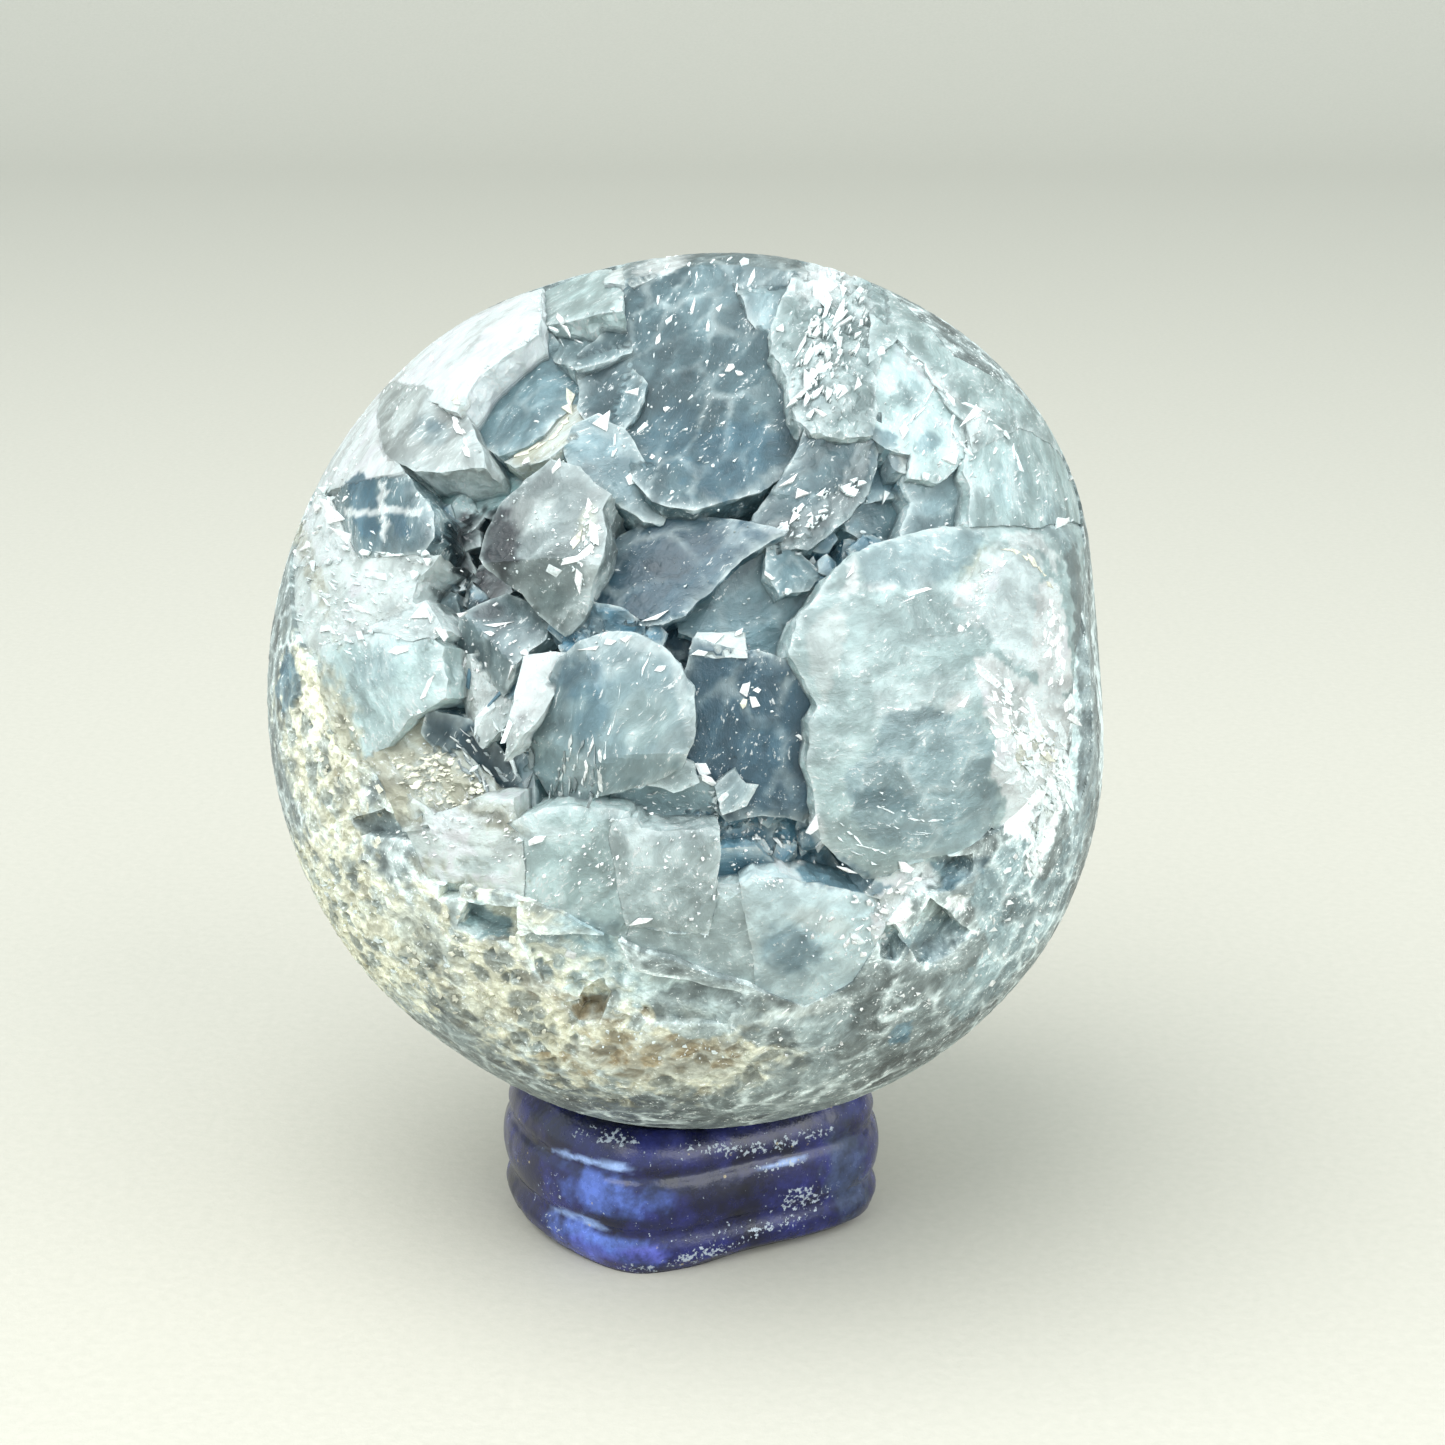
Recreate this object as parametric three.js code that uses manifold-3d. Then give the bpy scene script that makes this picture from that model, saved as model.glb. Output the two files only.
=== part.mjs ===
// A celestite ball, ground from a crystal-filled lump of geode, resting on a ring cut from lapis lazuli.
// Millimetres, +Z up. The origin is on the surface that the ring stands on, under the middle of the object.
// The ball is modelled in its own frame: x is right, y is up and z is towards a viewer in front and a little
// above. A place on the ball is given as that viewer sees it, in millimetres right and up of its middle.
import * as THREE from "three";
import { mergeVertices } from "three/addons/utils/BufferGeometryUtils.js";
import Module from "manifold-3d";

const wasm = await Module();
wasm.setup();

// Driving dimensions of the ball
const HALF_WIDTH = 40.1;
const HALF_HEIGHT = 41.8;
const HALF_DEPTH = 40.5;
const LONG_AXIS_LEAN = 10.5; // degrees, the top leans to the right
const MEAN_RADIUS = 40.9;
const BALL_CENTRE_Z = 54.6;
const VIEW_TILT = 16.4; // degrees that the hollow faces above the level
const VIEW_DISTANCE = 286; // from the viewer to the middle of the ball
const GROUND_CUTS = 9; // along each edge of the icosahedron under the ground surface
const FLOOR_CUTS = 3; // along each edge of the one under the hollow's floor
const FLOOR_DEPTH = 7.5; // of the hollow between its crystals
const ROOT_RADIUS = 31; // where the crystals start, inside the floor
const HOLLOW_RADIUS = 27.5; // of the hollow behind its crust
const FAR_RADIUS = 60; // well outside the ball
const NATURAL_OVERLAP = 0.7; // how far a crystal with natural faces goes on under its neighbours
const GROUND_OVERLAP = 0.2; // and a ground one

// Driving dimensions of the ring stand
const STAND_HEIGHT = 15.6; // before its top is hollowed to take the ball
const BORE_RADIUS = 8.8;
const BORE_EDGE = 0.6; // bevel at the foot of the bore
const STAND_STEPS = 44;

const GAP = 0.35; // between pieces that touch
const SHORTEST_EDGE = 0.02; // shorter edges left by the cuts are closed up

const rad = THREE.MathUtils.degToRad;

// Places where the grinding left the ball high or low: bearing from the right and angle off the line of
// sight in degrees, height in millimetres and spread in degrees.
const SWELLS = [
  { bearing: 42, off: 80, height: 0.9, spread: 20 },
  { bearing: 325, off: 80, height: 0.9, spread: 16 },
  { bearing: 302, off: 80, height: 0.8, spread: 18 },
  { bearing: 6, off: 80, height: -2, spread: 15 },
  { bearing: 98, off: 80, height: -0.9, spread: 18 },
  { bearing: 108, off: 80, height: -0.4, spread: 10 },
  { bearing: 238, off: 80, height: -0.5, spread: 14 },
];

// The edge of the crystal-filled hollow. Points beyond the ball's visible edge are carried on around it.
const HOLLOW_EDGE = [
  [38.6, 9.4], [37.2, 18], [33.6, 24.6], [24.6, 31], [19, 36.4], [15.2, 41.6], [9, 44.4], [2, 45],
  [-5.4, 43.4], [-12.4, 40.6], [-19.4, 37.6], [-26.2, 32.4], [-32, 26.2], [-36.4, 19.6], [-39, 12.6],
  [-38.6, 5.6], [-36.4, 1.2], [-34.4, -5.6], [-30, -8.8], [-27.6, -14.4], [-25.6, -18.8], [-18.4, -19.8],
  [-12.6, -21.4], [-6.8, -24.4], [-0.4, -26.6], [5.8, -28.6], [11, -30.6], [15.8, -28.4], [19.4, -22.4],
  [24.4, -17], [30.2, -13.8], [34.4, -9.4], [37, -4.6], [37.6, 2.4],
];

// The crystals of the hollow. Each has its outline and its top faces: where a face is, how deep it lies
// there below the ground surface, and how it leans to the right and up in degrees. One with no face is
// ground with the ball, or worn to a little below it where it is sunk.
const CRYSTALS = {
  // The great dark face at the top and what stands around it
  great_face: {
    outline: [
      [-1, 44], [5, 44.4], [8.6, 36], [9.6, 32.6], [10.4, 27.4], [11.6, 24.4], [10.4, 21.4], [6.4, 18.4],
      [0.4, 16.4], [-3.2, 17], [-6.8, 22], [-9.6, 25.6], [-9.4, 30], [-7, 32], [-5.2, 34.4], [-6, 38],
      [-5, 42],
    ],
    faces: [[1, 28.4, 4.2, 2, -3]],
  },
  great_face_step: {
    outline: [[-10.4, 25], [-6.6, 24], [-5.2, 26], [-4.4, 28.4], [-6.4, 31], [-9, 31.2], [-10.6, 29.2]],
    faces: [[-7.6, 27.8, 3.4, -10, 4]],
  },
  lower_left_block: {
    outline: [
      [-11.4, 22.4], [-10.4, 24.2], [-8.4, 24.8], [-6.2, 23.6], [-4.4, 21], [-2.4, 18.6], [-3, 16.8],
      [-4.8, 16.8], [-8, 19.2], [-10.4, 20.2],
    ],
    faces: [[-7, 21, 2.4, -8, -10], [-4.4, 18.6, 3, 22, -8]],
  },
  top_left_rim: {
    outline: [[-8.2, 44], [-1, 44.4], [0.6, 41.2], [-2.4, 39.9], [-5.4, 38.7], [-8.4, 39.4]],
    faces: [],
    sunk: 0.3,
  },
  upper_left_step: {
    outline: [[-14.8, 40], [-8.4, 41.4], [-6.8, 37.2], [-6.4, 35], [-10, 34.6], [-14.6, 35], [-15.2, 37]],
    faces: [[-10.6, 37, 1.3, -6, 4]],
  },
  upper_left_steps_foot: {
    outline: [
      [-14.6, 35.2], [-10, 34.8], [-6.2, 35.2], [-6, 32.2], [-8.4, 30.8], [-10.4, 29.6], [-12.6, 31.8],
      [-14.8, 33.8],
    ],
    faces: [[-10.4, 32.6, 2.6, 8, 10], [-12, 33.6, 2.4, -24, 0]],
  },
  top_crystal: {
    outline: [
      [2.8, 44], [11.2, 44.2], [10.4, 38.4], [9.4, 35], [8, 34.9], [5.8, 36.4], [4.6, 37.9], [2.8, 39],
    ],
    faces: [[6.8, 39.6, 0.9, -6, -8], [6.6, 36.4, 1.5, 0, -30]],
  },
  white_ridge: {
    outline: [
      [10.2, 38.6], [10.8, 43.6], [16, 42], [17, 37], [17.4, 32], [17, 29], [17.6, 26.4], [17.2, 24.4],
      [14.6, 24], [11.8, 24.4], [10.2, 27.4], [9.9, 31], [8.6, 33.2], [8.6, 35],
    ],
    faces: [[13.4, 32, 0.7, -4, 2], [11, 30, 1.1, -22, 0]],
  },
  ridge_foot: {
    outline: [
      [14.6, 24.2], [17.2, 24.6], [17.4, 20.4], [16.4, 18.4], [14.6, 16.6], [12, 14.4], [10.2, 14.4],
      [8.4, 13.6], [6.8, 15.6], [7.4, 17.6], [10, 20.6], [11.6, 24.4],
    ],
    faces: [[12.6, 18.6, 2, 8, -10], [9.4, 18, 2.6, -10, -14]],
  },
  // The left side of the hollow
  dark_face_left: {
    outline: [
      [-14.8, 33.7], [-12.6, 32], [-10.6, 29.7], [-11.2, 27.6], [-13.2, 26.2], [-14, 24.4], [-15.6, 23.4],
      [-18.2, 22.8], [-20.4, 24.6], [-20.4, 30], [-18.8, 31.5],
    ],
    faces: [[-16.6, 28, 3.2, -8, -4], [-12.4, 29, 3.4, 12, -4]],
  },
  curved_blade: {
    outline: [
      [-10.6, 29.8], [-10, 26.4], [-11.4, 23.4], [-13.4, 21.9], [-16.4, 21.7], [-17.8, 22.7],
      [-15.4, 23.6], [-13.8, 24.9], [-12.7, 27],
    ],
    faces: [[-13, 24, 3, -14, 18]],
  },
  left_prism: {
    outline: [
      [-29, 28.8], [-27.4, 28.6], [-22.6, 27], [-20.9, 23.8], [-20.7, 22], [-26.6, 21.2], [-28.6, 23],
      [-29.4, 26],
    ],
    faces: [[-25.2, 25, 0.5, 12, -4]],
  },
  upper_left_rim: {
    outline: [
      [-15.6, 42], [-14.4, 36], [-14.7, 33.8], [-20.2, 30.2], [-22.6, 26.8], [-28, 28.6], [-29, 24.8],
      [-27.8, 20.9], [-36, 19], [-40, 20], [-36, 30], [-26, 38],
    ],
    faces: [],
  },
  lens: {
    outline: [
      [-30.4, 21.8], [-28, 20.8], [-26.4, 18.8], [-25, 17.2], [-25, 14.6], [-26.4, 13.1], [-32.4, 12.8],
      [-33.8, 16], [-35, 18.2], [-33, 21],
    ],
    faces: [],
  },
  left_fin: {
    outline: [[-40, 20], [-34.4, 18.4], [-33, 14.6], [-32.2, 13.2], [-34.8, 12.2], [-42, 11.6]],
    faces: [],
    sunk: 0.2,
  },
  green_floor: {
    outline: [
      [-26.8, 21], [-20.8, 22.2], [-17.4, 22.2], [-15.8, 21], [-16.2, 19.2], [-18.2, 16], [-20, 17],
      [-20.6, 15.2], [-25, 15],
    ],
    faces: [[-18, 19.6, 5, -6, 14], [-23, 18.6, 5.8, 10, 10]],
  },
  green_lumps: {
    outline: [
      [-25.2, 19.8], [-23, 20.4], [-21.8, 18.8], [-21, 16.6], [-22.4, 13.6], [-24.4, 14.4], [-25.4, 16.4],
    ],
    faces: [[-23.4, 18, 4.8, -12, 16], [-22, 15.4, 5.2, 26, -16]],
  },
  hollow_block_a: {
    outline: [
      [-27.5, 9], [-26.4, 11.2], [-25, 13.4], [-23.6, 14.2], [-22.4, 13.6], [-23, 10.4], [-24.2, 7.6],
      [-26.4, 7.9],
    ],
    faces: [[-25, 11, 4.2, 18, 6]],
  },
  hollow_block_b: {
    outline: [[-22.6, 13.6], [-21.4, 12.4], [-21, 9.6], [-22.2, 6.4], [-24.4, 7.4], [-23, 10.4]],
    faces: [[-22.2, 10.2, 5.4, 8, -18]],
  },
  hollow_block_c: {
    outline: [
      [-20.9, 9.8], [-20.4, 11.3], [-18.7, 12.1], [-17.9, 9.4], [-19, 8.4], [-20.2, 7.7], [-21.1, 8.3],
    ],
    faces: [[-19.5, 10.2, 5.6, 10, 12]],
  },
  grey: {
    outline: [
      [-15.4, 19], [-12.8, 20.8], [-10.4, 20.2], [-9.4, 18.6], [-8, 17.8], [-8.8, 16.4], [-8.3, 14.4],
      [-8.8, 11.8], [-10, 9.8], [-10.8, 7.8], [-13, 6.1], [-15.4, 8.2], [-16.2, 10], [-18.6, 11.5],
      [-19.3, 12.6], [-18.8, 14.6], [-17.6, 17],
    ],
    faces: [[-14, 15, 0.25, -6, 2], [-14, 9, 2, -6, -34]],
  },
  // The middle
  mid_slab: {
    outline: [
      [-10.2, 7.8], [-10, 10], [-8.4, 12.6], [-6.2, 14.8], [-3.6, 16], [0, 16], [4.2, 15.2], [8.2, 13.6],
      [4.4, 11.8], [-0.6, 7.3], [-2.4, 6.8], [-5, 6.4],
    ],
    faces: [[-3.4, 11.4, 4.2, -10, 6]],
  },
  mid_slab_right: {
    outline: [
      [-0.6, 7.5], [4.4, 12], [8.4, 13.6], [8.4, 11], [10.8, 9.2], [12.6, 8], [11, 5.4], [10.8, 1.8],
      [5, 3.1], [4.4, 4.9], [1.6, 4.8], [-0.4, 5.6],
    ],
    faces: [[5.4, 8, 5.2, 6, -12], [2.8, 8.4, 4.6, -24, 4]],
  },
  shell_chip: {
    outline: [[8, 13.7], [9.6, 13.6], [11.4, 12.4], [12.7, 11.3], [11.4, 10], [9, 9.2], [7.8, 10.8]],
    faces: [[10, 11.6, 3.6, 20, 8]],
  },
  small_brown: {
    outline: [
      [-13.2, 5.6], [-11.8, 7.2], [-10.2, 8], [-7, 7.2], [-4.8, 6], [-4.8, 4.4], [-8, 4.2], [-11.6, 4.2],
    ],
    faces: [[-9, 6, 4, -4, -26]],
  },
  ledge_flake: {
    outline: [[1.6, 5], [4.8, 5], [5, 3.1], [2.6, 3.5], [1, 3.9]],
    faces: [[3, 4.4, 3.2, -8, 18]],
  },
  centre_slab: {
    outline: [
      [1, 4], [5, 3], [10.8, 1.6], [11.8, 0.2], [13.2, -1.8], [12.4, -3.6], [12.4, -9.6], [10.8, -12.2],
      [7, -11.6], [4, -12.2], [2.2, -10.6], [-0.2, -6.8], [-0.4, -3], [0.2, 0.8],
    ],
    faces: [[5.6, -4, 3.6, -5, -3]],
  },
  lower_dark: {
    outline: [
      [2.6, -11.4], [7, -11.4], [11, -12.2], [11.6, -14.6], [14, -17], [17.8, -18.6], [18.2, -20.2],
      [10, -19.2], [5, -19.6], [2.6, -20], [2.6, -14],
    ],
    faces: [[8, -15.4, 5.2, 4, 6]],
  },
  lower_dark_prism: {
    outline: [[2.7, -15.6], [6.4, -16], [8, -17.6], [6.8, -19.2], [2.6, -20.2]],
    faces: [[5, -17.4, 3, 10, -14]],
  },
  under_arch: {
    outline: [
      [-6.6, -10], [-5, -8.8], [-1.8, -8.4], [1.8, -9], [2.2, -10.6], [1.4, -12.4], [0.8, -14],
      [-3.4, -13], [-6.6, -11.4],
    ],
    faces: [[-2.4, -11, 4, -2, -18]],
  },
  under_arch_tip: {
    outline: [[-3, -8], [-1.4, -7.2], [-0.2, -7.8], [0.4, -9], [-1.4, -9.4], [-3.4, -9]],
    faces: [[-1.4, -8.4, 2.2, 4, 14]],
  },
  splinter: {
    outline: [[3.4, -9.8], [4.6, -8.8], [5, -10], [6.4, -9.8], [5.4, -11], [3.8, -11.6]],
    faces: [[4.4, -10.2, 2.6, 16, 10]],
  },
  arch: {
    outline: [
      [-12.4, 2.2], [-10, 3.7], [-7.5, 4.7], [-5, 4.3], [-2.6, 3.2], [-1.2, 1.7], [-0.2, 0], [0, -3],
      [-0.3, -5.2], [-1.2, -7.2], [-3, -8.4], [-6.6, -9.6], [-8.6, -9.9], [-12, -11.8], [-15, -11.4],
      [-17, -8.4], [-14.2, -1.8],
    ],
    faces: [[-10, -1, 0.6, -26, -4], [-12.2, -7, 2.4, -30, -24], [-6, -8.4, 0.8, 6, -26]],
  },
  bright_fin: {
    outline: [[-15.6, 2.4], [-12, 3], [-12.6, 1.2], [-14, -1.8], [-16.8, -6.2], [-16, -1.8]],
    faces: [[-14.4, 0.6, 1.6, 20, 14]],
  },
  twin_upper: {
    outline: [
      [-18.8, 8.9], [-17, 8.3], [-15, 6.4], [-15.2, 4.8], [-16.6, 3.4], [-17.4, 1.4], [-18.6, -0.2],
      [-20.4, 2], [-22.4, 2.8], [-22.8, 4.6], [-21.6, 6.2], [-20.4, 7.4],
    ],
    faces: [[-18.6, 4.8, 2.4, 24, 26], [-20, 3.6, 2.7, -18, -20]],
  },
  twin_lower: {
    outline: [
      [-22.5, 2.8], [-20.6, 2.4], [-19, 0], [-17.8, -1], [-18.4, -3], [-19.8, -5.2], [-21.4, -3.4],
      [-22.5, 0],
    ],
    faces: [[-20.4, -0.4, 3, 26, 8], [-21, -1, 2.9, -26, 0]],
  },
  striated_blade: {
    outline: [
      [-23.6, -2.6], [-20.8, -3.6], [-19.4, -5.6], [-17.2, -9.6], [-18, -10.8], [-20.4, -10.4],
      [-22.6, -7.6], [-24.2, -4.6],
    ],
    faces: [[-20.8, -6.6, 3.4, 14, -12]],
  },
  fan_floor: {
    outline: [[-19.4, -5.2], [-17.6, -6.6], [-16.2, -7.4], [-14.8, -11.4], [-17.6, -12.6], [-18, -10.4]],
    faces: [[-17.2, -9.4, 4.6, 0, 20]],
  },
  // The edges of the hollow that are ground with the ball, from the left round by the bottom to the top
  left_pale: {
    outline: [
      [-42, 12], [-33, 13], [-26.4, 13.2], [-25, 12.9], [-27, 10.6], [-27.6, 8.4], [-26.6, 7.6],
      [-28.8, 6.6], [-31, 5.9], [-32.6, 3.8], [-35, 1.8], [-42, 4],
    ],
    faces: [],
    sunk: 0.4,
  },
  left_tab: {
    outline: [
      [-31, 5.9], [-28.4, 6.7], [-26.2, 7.9], [-25.1, 6.8], [-24.2, 5.4], [-26.6, 4.3], [-28.8, 4.8],
    ],
    faces: [[-26.8, 6, 0.3, -2, 4]],
  },
  left_round: {
    outline: [
      [-36, 4], [-31, 5.4], [-27, 4.3], [-25.4, 4.6], [-24.1, 3.8], [-24.4, 2.4], [-23.7, 0.8],
      [-24, -0.9], [-26, -2.3], [-27.6, -3], [-29.4, -5.6], [-33, -7.6], [-38, -6],
    ],
    faces: [],
  },
  sandy_slope: {
    outline: [
      [-27.8, -2.8], [-24.6, -3.4], [-22.6, -7.4], [-20, -10.4], [-17.6, -11], [-24, -12.6], [-29, -13],
      [-32, -8],
    ],
    faces: [[-25.6, -7.6, 1.8, 20, 14]],
  },
  left_low: {
    outline: [
      [-30, -9], [-25, -12.8], [-21, -11.2], [-17.6, -11.2], [-17, -13.6], [-15.4, -17], [-16.6, -22],
      [-30, -22],
    ],
    faces: [],
    sunk: 0.6,
  },
  mid_low: {
    outline: [
      [-17.6, -13.4], [-14, -12.2], [-9.8, -11.8], [-6, -12.4], [-5, -20], [-7, -27], [-16, -23],
      [-16, -15],
    ],
    faces: [],
    sunk: 0.4,
  },
  square: {
    outline: [
      [-7.2, -12.9], [-5, -12.9], [-4.4, -14.2], [3, -14.1], [2.7, -20], [2, -24], [-6, -23], [-7.6, -15],
    ],
    faces: [],
  },
  saddle: {
    outline: [
      [0.4, -20], [5.4, -19.8], [5.6, -22], [6.8, -25.4], [7, -32], [-4, -31], [-9, -26], [-6, -21.8],
    ],
    faces: [],
    sunk: 0.7,
  },
  wedge: {
    outline: [
      [5.2, -19.6], [6.8, -18.7], [10, -19], [14.4, -19.8], [18.6, -20.8], [20, -26], [14, -33],
      [7.6, -32.6], [6.6, -28], [6.2, -24.6],
    ],
    faces: [],
    sunk: 0.2,
  },
  low_right: {
    outline: [[17.6, -20.2], [19.8, -17.6], [22.4, -16.9], [21.4, -19], [22, -23], [18, -24]],
    faces: [[20.2, -19.6, 0.5, 0, 8]],
  },
  broad: {
    outline: [
      [16.2, 12.8], [19.8, 14.4], [22.2, 15.1], [25, 15.5], [33, 15.4], [42, 17], [42, -14], [31, -15],
      [29.6, -13.6], [28, -15.4], [25.6, -16.3], [22, -16.8], [19.6, -18.2], [17.4, -18.5], [15, -16.8],
      [13.4, -15], [12.6, -12], [12, -7.4], [12.1, -3.4], [13, -1.7], [11, 1.6], [10.4, 3], [10.4, 5],
      [11.4, 7.2], [12.6, 8.8], [14.6, 11.4],
    ],
    faces: [],
  },
  right_prism: {
    outline: [[27.4, 19.4], [27.4, 15.2], [42, 15], [40, 24], [30.4, 25], [27, 23.2], [26.6, 21]],
    faces: [],
    sunk: 0.25,
  },
  blue_face: {
    outline: [[20.4, 14.2], [27.6, 15], [27.6, 19.4], [24.4, 20.6], [21, 21.2], [20.7, 19.4], [21.9, 17.9]],
    faces: [[24.4, 17.6, 2.2, 4, -10]],
  },
  valley_face: {
    outline: [[15, 17.8], [17.4, 19], [20.4, 18.2], [21.6, 16.6], [19.8, 14.2], [17.8, 14.4], [15.6, 15.4]],
    faces: [[18, 16.6, 4.4, 4, -6]],
  },
  valley_back: {
    outline: [[17, 25], [19.2, 23.8], [20.2, 22], [21, 20.8], [20.8, 18.8], [17.4, 18.6], [16.8, 21]],
    faces: [[19, 21.4, 3.4, -16, -8]],
  },
  valley_chip: {
    outline: [[19.4, 23.4], [21.4, 23.3], [22.2, 22], [21.4, 20.9], [20, 21]],
    faces: [[20.8, 22.2, 1.6, 6, 4]],
  },
  upper_right_inner: {
    outline: [
      [17.2, 31], [17, 28.6], [17.4, 25.2], [19.4, 23.6], [21.8, 22.8], [21.6, 20.8], [24.6, 20.4],
      [27.4, 22.8], [26.4, 25.6], [24.6, 27.6], [22.6, 31], [19.6, 33.4],
    ],
    faces: [],
    sunk: 0.6,
  },
  upper_right_outer: {
    outline: [
      [16.8, 41], [17.2, 33], [17.2, 30.8], [19.8, 32.8], [22.4, 30.6], [24.4, 27.4], [26.4, 25.4],
      [27.2, 22.6], [31, 24.8], [42, 23], [34, 36],
    ],
    faces: [],
  },
};

// Small crystals scattered over the floors of the hollow: where each patch is, its spread, how many stand
// there and about how deep their tips are.
const SCATTER = [
  { about: [-6, 5.6], spread: [4, 1.4], count: 3, tip: 4.4 },
  { about: [2, 14], spread: [7, 2], count: 3, tip: 4 },
  { about: [7, -15], spread: [5, 3.6], count: 5, tip: 4.6 },
  { about: [-24, 17], spread: [2, 3], count: 3, tip: 5.2 },
  { about: [-23, 9], spread: [4, 2.4], count: 5, tip: 5 },
  { about: [-18, -4], spread: [3, 5], count: 5, tip: 4.8 },
  { about: [16, 13.6], spread: [3.4, 2], count: 3, tip: 4.6 },
  { about: [13.4, 8.4], spread: [2, 3], count: 3, tip: 5 },
  { about: [-12, 19], spread: [3, 2.4], count: 2, tip: 3.6 },
];

// Pits that the grinding left open in the ball outside the hollow: outline, then the floor's place, depth
// and lean
const PITS = [
  {
    outline: [[20.8, -24.6], [22, -22.6], [23.4, -20.4], [27.2, -23.6], [25, -25.8], [22.6, -27]],
    floor: [24, -23.6, 2.6, 8, 0],
  },
  {
    outline: [[18, -22.4], [20, -22.8], [21.2, -24.6], [20, -26.5], [18.4, -26]],
    floor: [19.6, -24.4, 2, 0, 8],
  },
  {
    outline: [[22.6, -16.9], [27.7, -16.2], [27.6, -18], [25.4, -19.8], [22.2, -20], [21.2, -18.6]],
    floor: [24.8, -18, 2.6, 0, 10],
  },
  {
    outline: [[-22.3, -22.8], [-21.6, -20.6], [-16.6, -21], [-16.4, -23.4], [-17.6, -24.6], [-20.4, -24.1]],
    floor: [-19, -22.4, 2.4, 0, 12],
  },
  {
    outline: [[-24.1, -19.1], [-22.2, -19.2], [-22.1, -20.4], [-24.1, -20.5]],
    floor: [-23.2, -19.8, 1.6, 0, 0],
  },
  {
    outline: [
      [-16.4, -23.8], [-7.2, -23.6], [-5.4, -27.2], [0, -28], [5.4, -29.4], [4.6, -32], [-3, -32],
      [-14, -28.4],
    ],
    floor: [-6, -27.6, 1.5, 0, 4],
  },
  {
    outline: [[-12.2, -30.2], [-10, -29.6], [-8.6, -29], [-7.8, -30.2], [-8.4, -32], [-10.6, -31.9]],
    floor: [-9.8, -30.6, 2.6, 0, 0],
  },
  {
    outline: [[-32.8, -12.8], [-29.6, -11.6], [-28.2, -12.4], [-27.2, -15], [-29.2, -14.6], [-31.8, -14.4]],
    floor: [-29.8, -13.4, 1.4, 6, 0],
  },
];

// The groove of natural faces down the right side of the ball
const RIGHT_GROOVE = {
  outline: [
    [35.4, 11.6], [37.4, 14], [39.4, 10], [40.4, 2], [40.6, -6], [39.6, -13.4], [36.8, -14.6], [37, -8],
    [37.8, -2], [37, 1], [36.6, 5], [35.8, 8.4],
  ],
  floor: [38.2, -1, 0.9, -10, 0],
};

// A small repeatable source of chance, so that the part is the same each time
function chance(seed) {
  let state = seed;
  return () => {
    state = (state + 0x6d2b79f5) | 0;
    let t = Math.imul(state ^ (state >>> 15), 1 | state);
    t = (t + Math.imul(t ^ (t >>> 7), 61 | t)) ^ t;
    return ((t ^ (t >>> 14)) >>> 0) / 4294967296;
  };
}

// The way out from the ball's centre at a bearing from the right and an angle off the line of sight, in
// radians
function heading(bearing, off) {
  const sideways = Math.sin(off);
  return new THREE.Vector3(sideways * Math.cos(bearing), sideways * Math.sin(bearing), Math.cos(off));
}

// The way out from the ball's centre to a place seen right and up of its middle, at a depth below its mean
// radius. Past the visible edge it goes on around the ball.
function seenWay(right, up, depth = 0) {
  const radius = MEAN_RADIUS - depth;
  const reach = Math.hypot(right, up);
  const edge = VIEW_DISTANCE * Math.tan(Math.asin(radius / VIEW_DISTANCE));
  const sight = Math.atan(Math.min(reach, edge) / VIEW_DISTANCE);
  const off = Math.asin(Math.min(1, (VIEW_DISTANCE * Math.sin(sight)) / radius)) - sight;
  return heading(Math.atan2(up, right), off + Math.max(0, reach - edge) / MEAN_RADIUS);
}

// Distance from the ball's centre to its ground surface along a unit vector
function groundRadius(way) {
  const lean = rad(LONG_AXIS_LEAN);
  const across = (way.x * Math.cos(lean) - way.y * Math.sin(lean)) / HALF_WIDTH;
  const along = (way.x * Math.sin(lean) + way.y * Math.cos(lean)) / HALF_HEIGHT;
  let radius = 1 / Math.hypot(across, along, way.z / HALF_DEPTH);
  for (const { bearing, off, height, spread } of SWELLS) {
    const apart = way.angleTo(heading(rad(bearing), rad(off))) / rad(spread);
    radius += height * Math.exp(-apart * apart);
  }
  return radius;
}

function solidOf(geometry) {
  const bare = geometry.clone();
  bare.deleteAttribute("normal");
  bare.deleteAttribute("uv");
  const merged = mergeVertices(bare, 1e-4);
  return new wasm.Manifold(
    new wasm.Mesh({
      numProp: 3,
      vertProperties: merged.attributes.position.array,
      triVerts: new Uint32Array(merged.index.array),
      tolerance: SHORTEST_EDGE,
    }),
  );
}

function geometryOf(solid) {
  const { vertProperties, triVerts } = solid.getMesh();
  const geometry = new THREE.BufferGeometry();
  geometry.setAttribute("position", new THREE.BufferAttribute(new Float32Array(vertProperties), 3));
  geometry.setIndex(new THREE.BufferAttribute(new Uint32Array(triVerts), 1));
  const flat = geometry.toNonIndexed();
  flat.computeVertexNormals();
  return flat;
}

// The largest connected piece of a solid
function mainPiece(solid) {
  return solid.decompose().reduce((a, b) => (a.volume() > b.volume() ? a : b));
}

// The whole ball before its hollow, its surface moved out by extra
function groundShape(extra, cuts = GROUND_CUTS) {
  const geometry = new THREE.IcosahedronGeometry(1, cuts);
  const position = geometry.attributes.position;
  const way = new THREE.Vector3();
  for (let i = 0; i < position.count; i++) {
    way.fromBufferAttribute(position, i).normalize();
    way.multiplyScalar(groundRadius(way) + extra);
    position.setXYZ(i, way.x, way.y, way.z);
  }
  return geometry;
}

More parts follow.
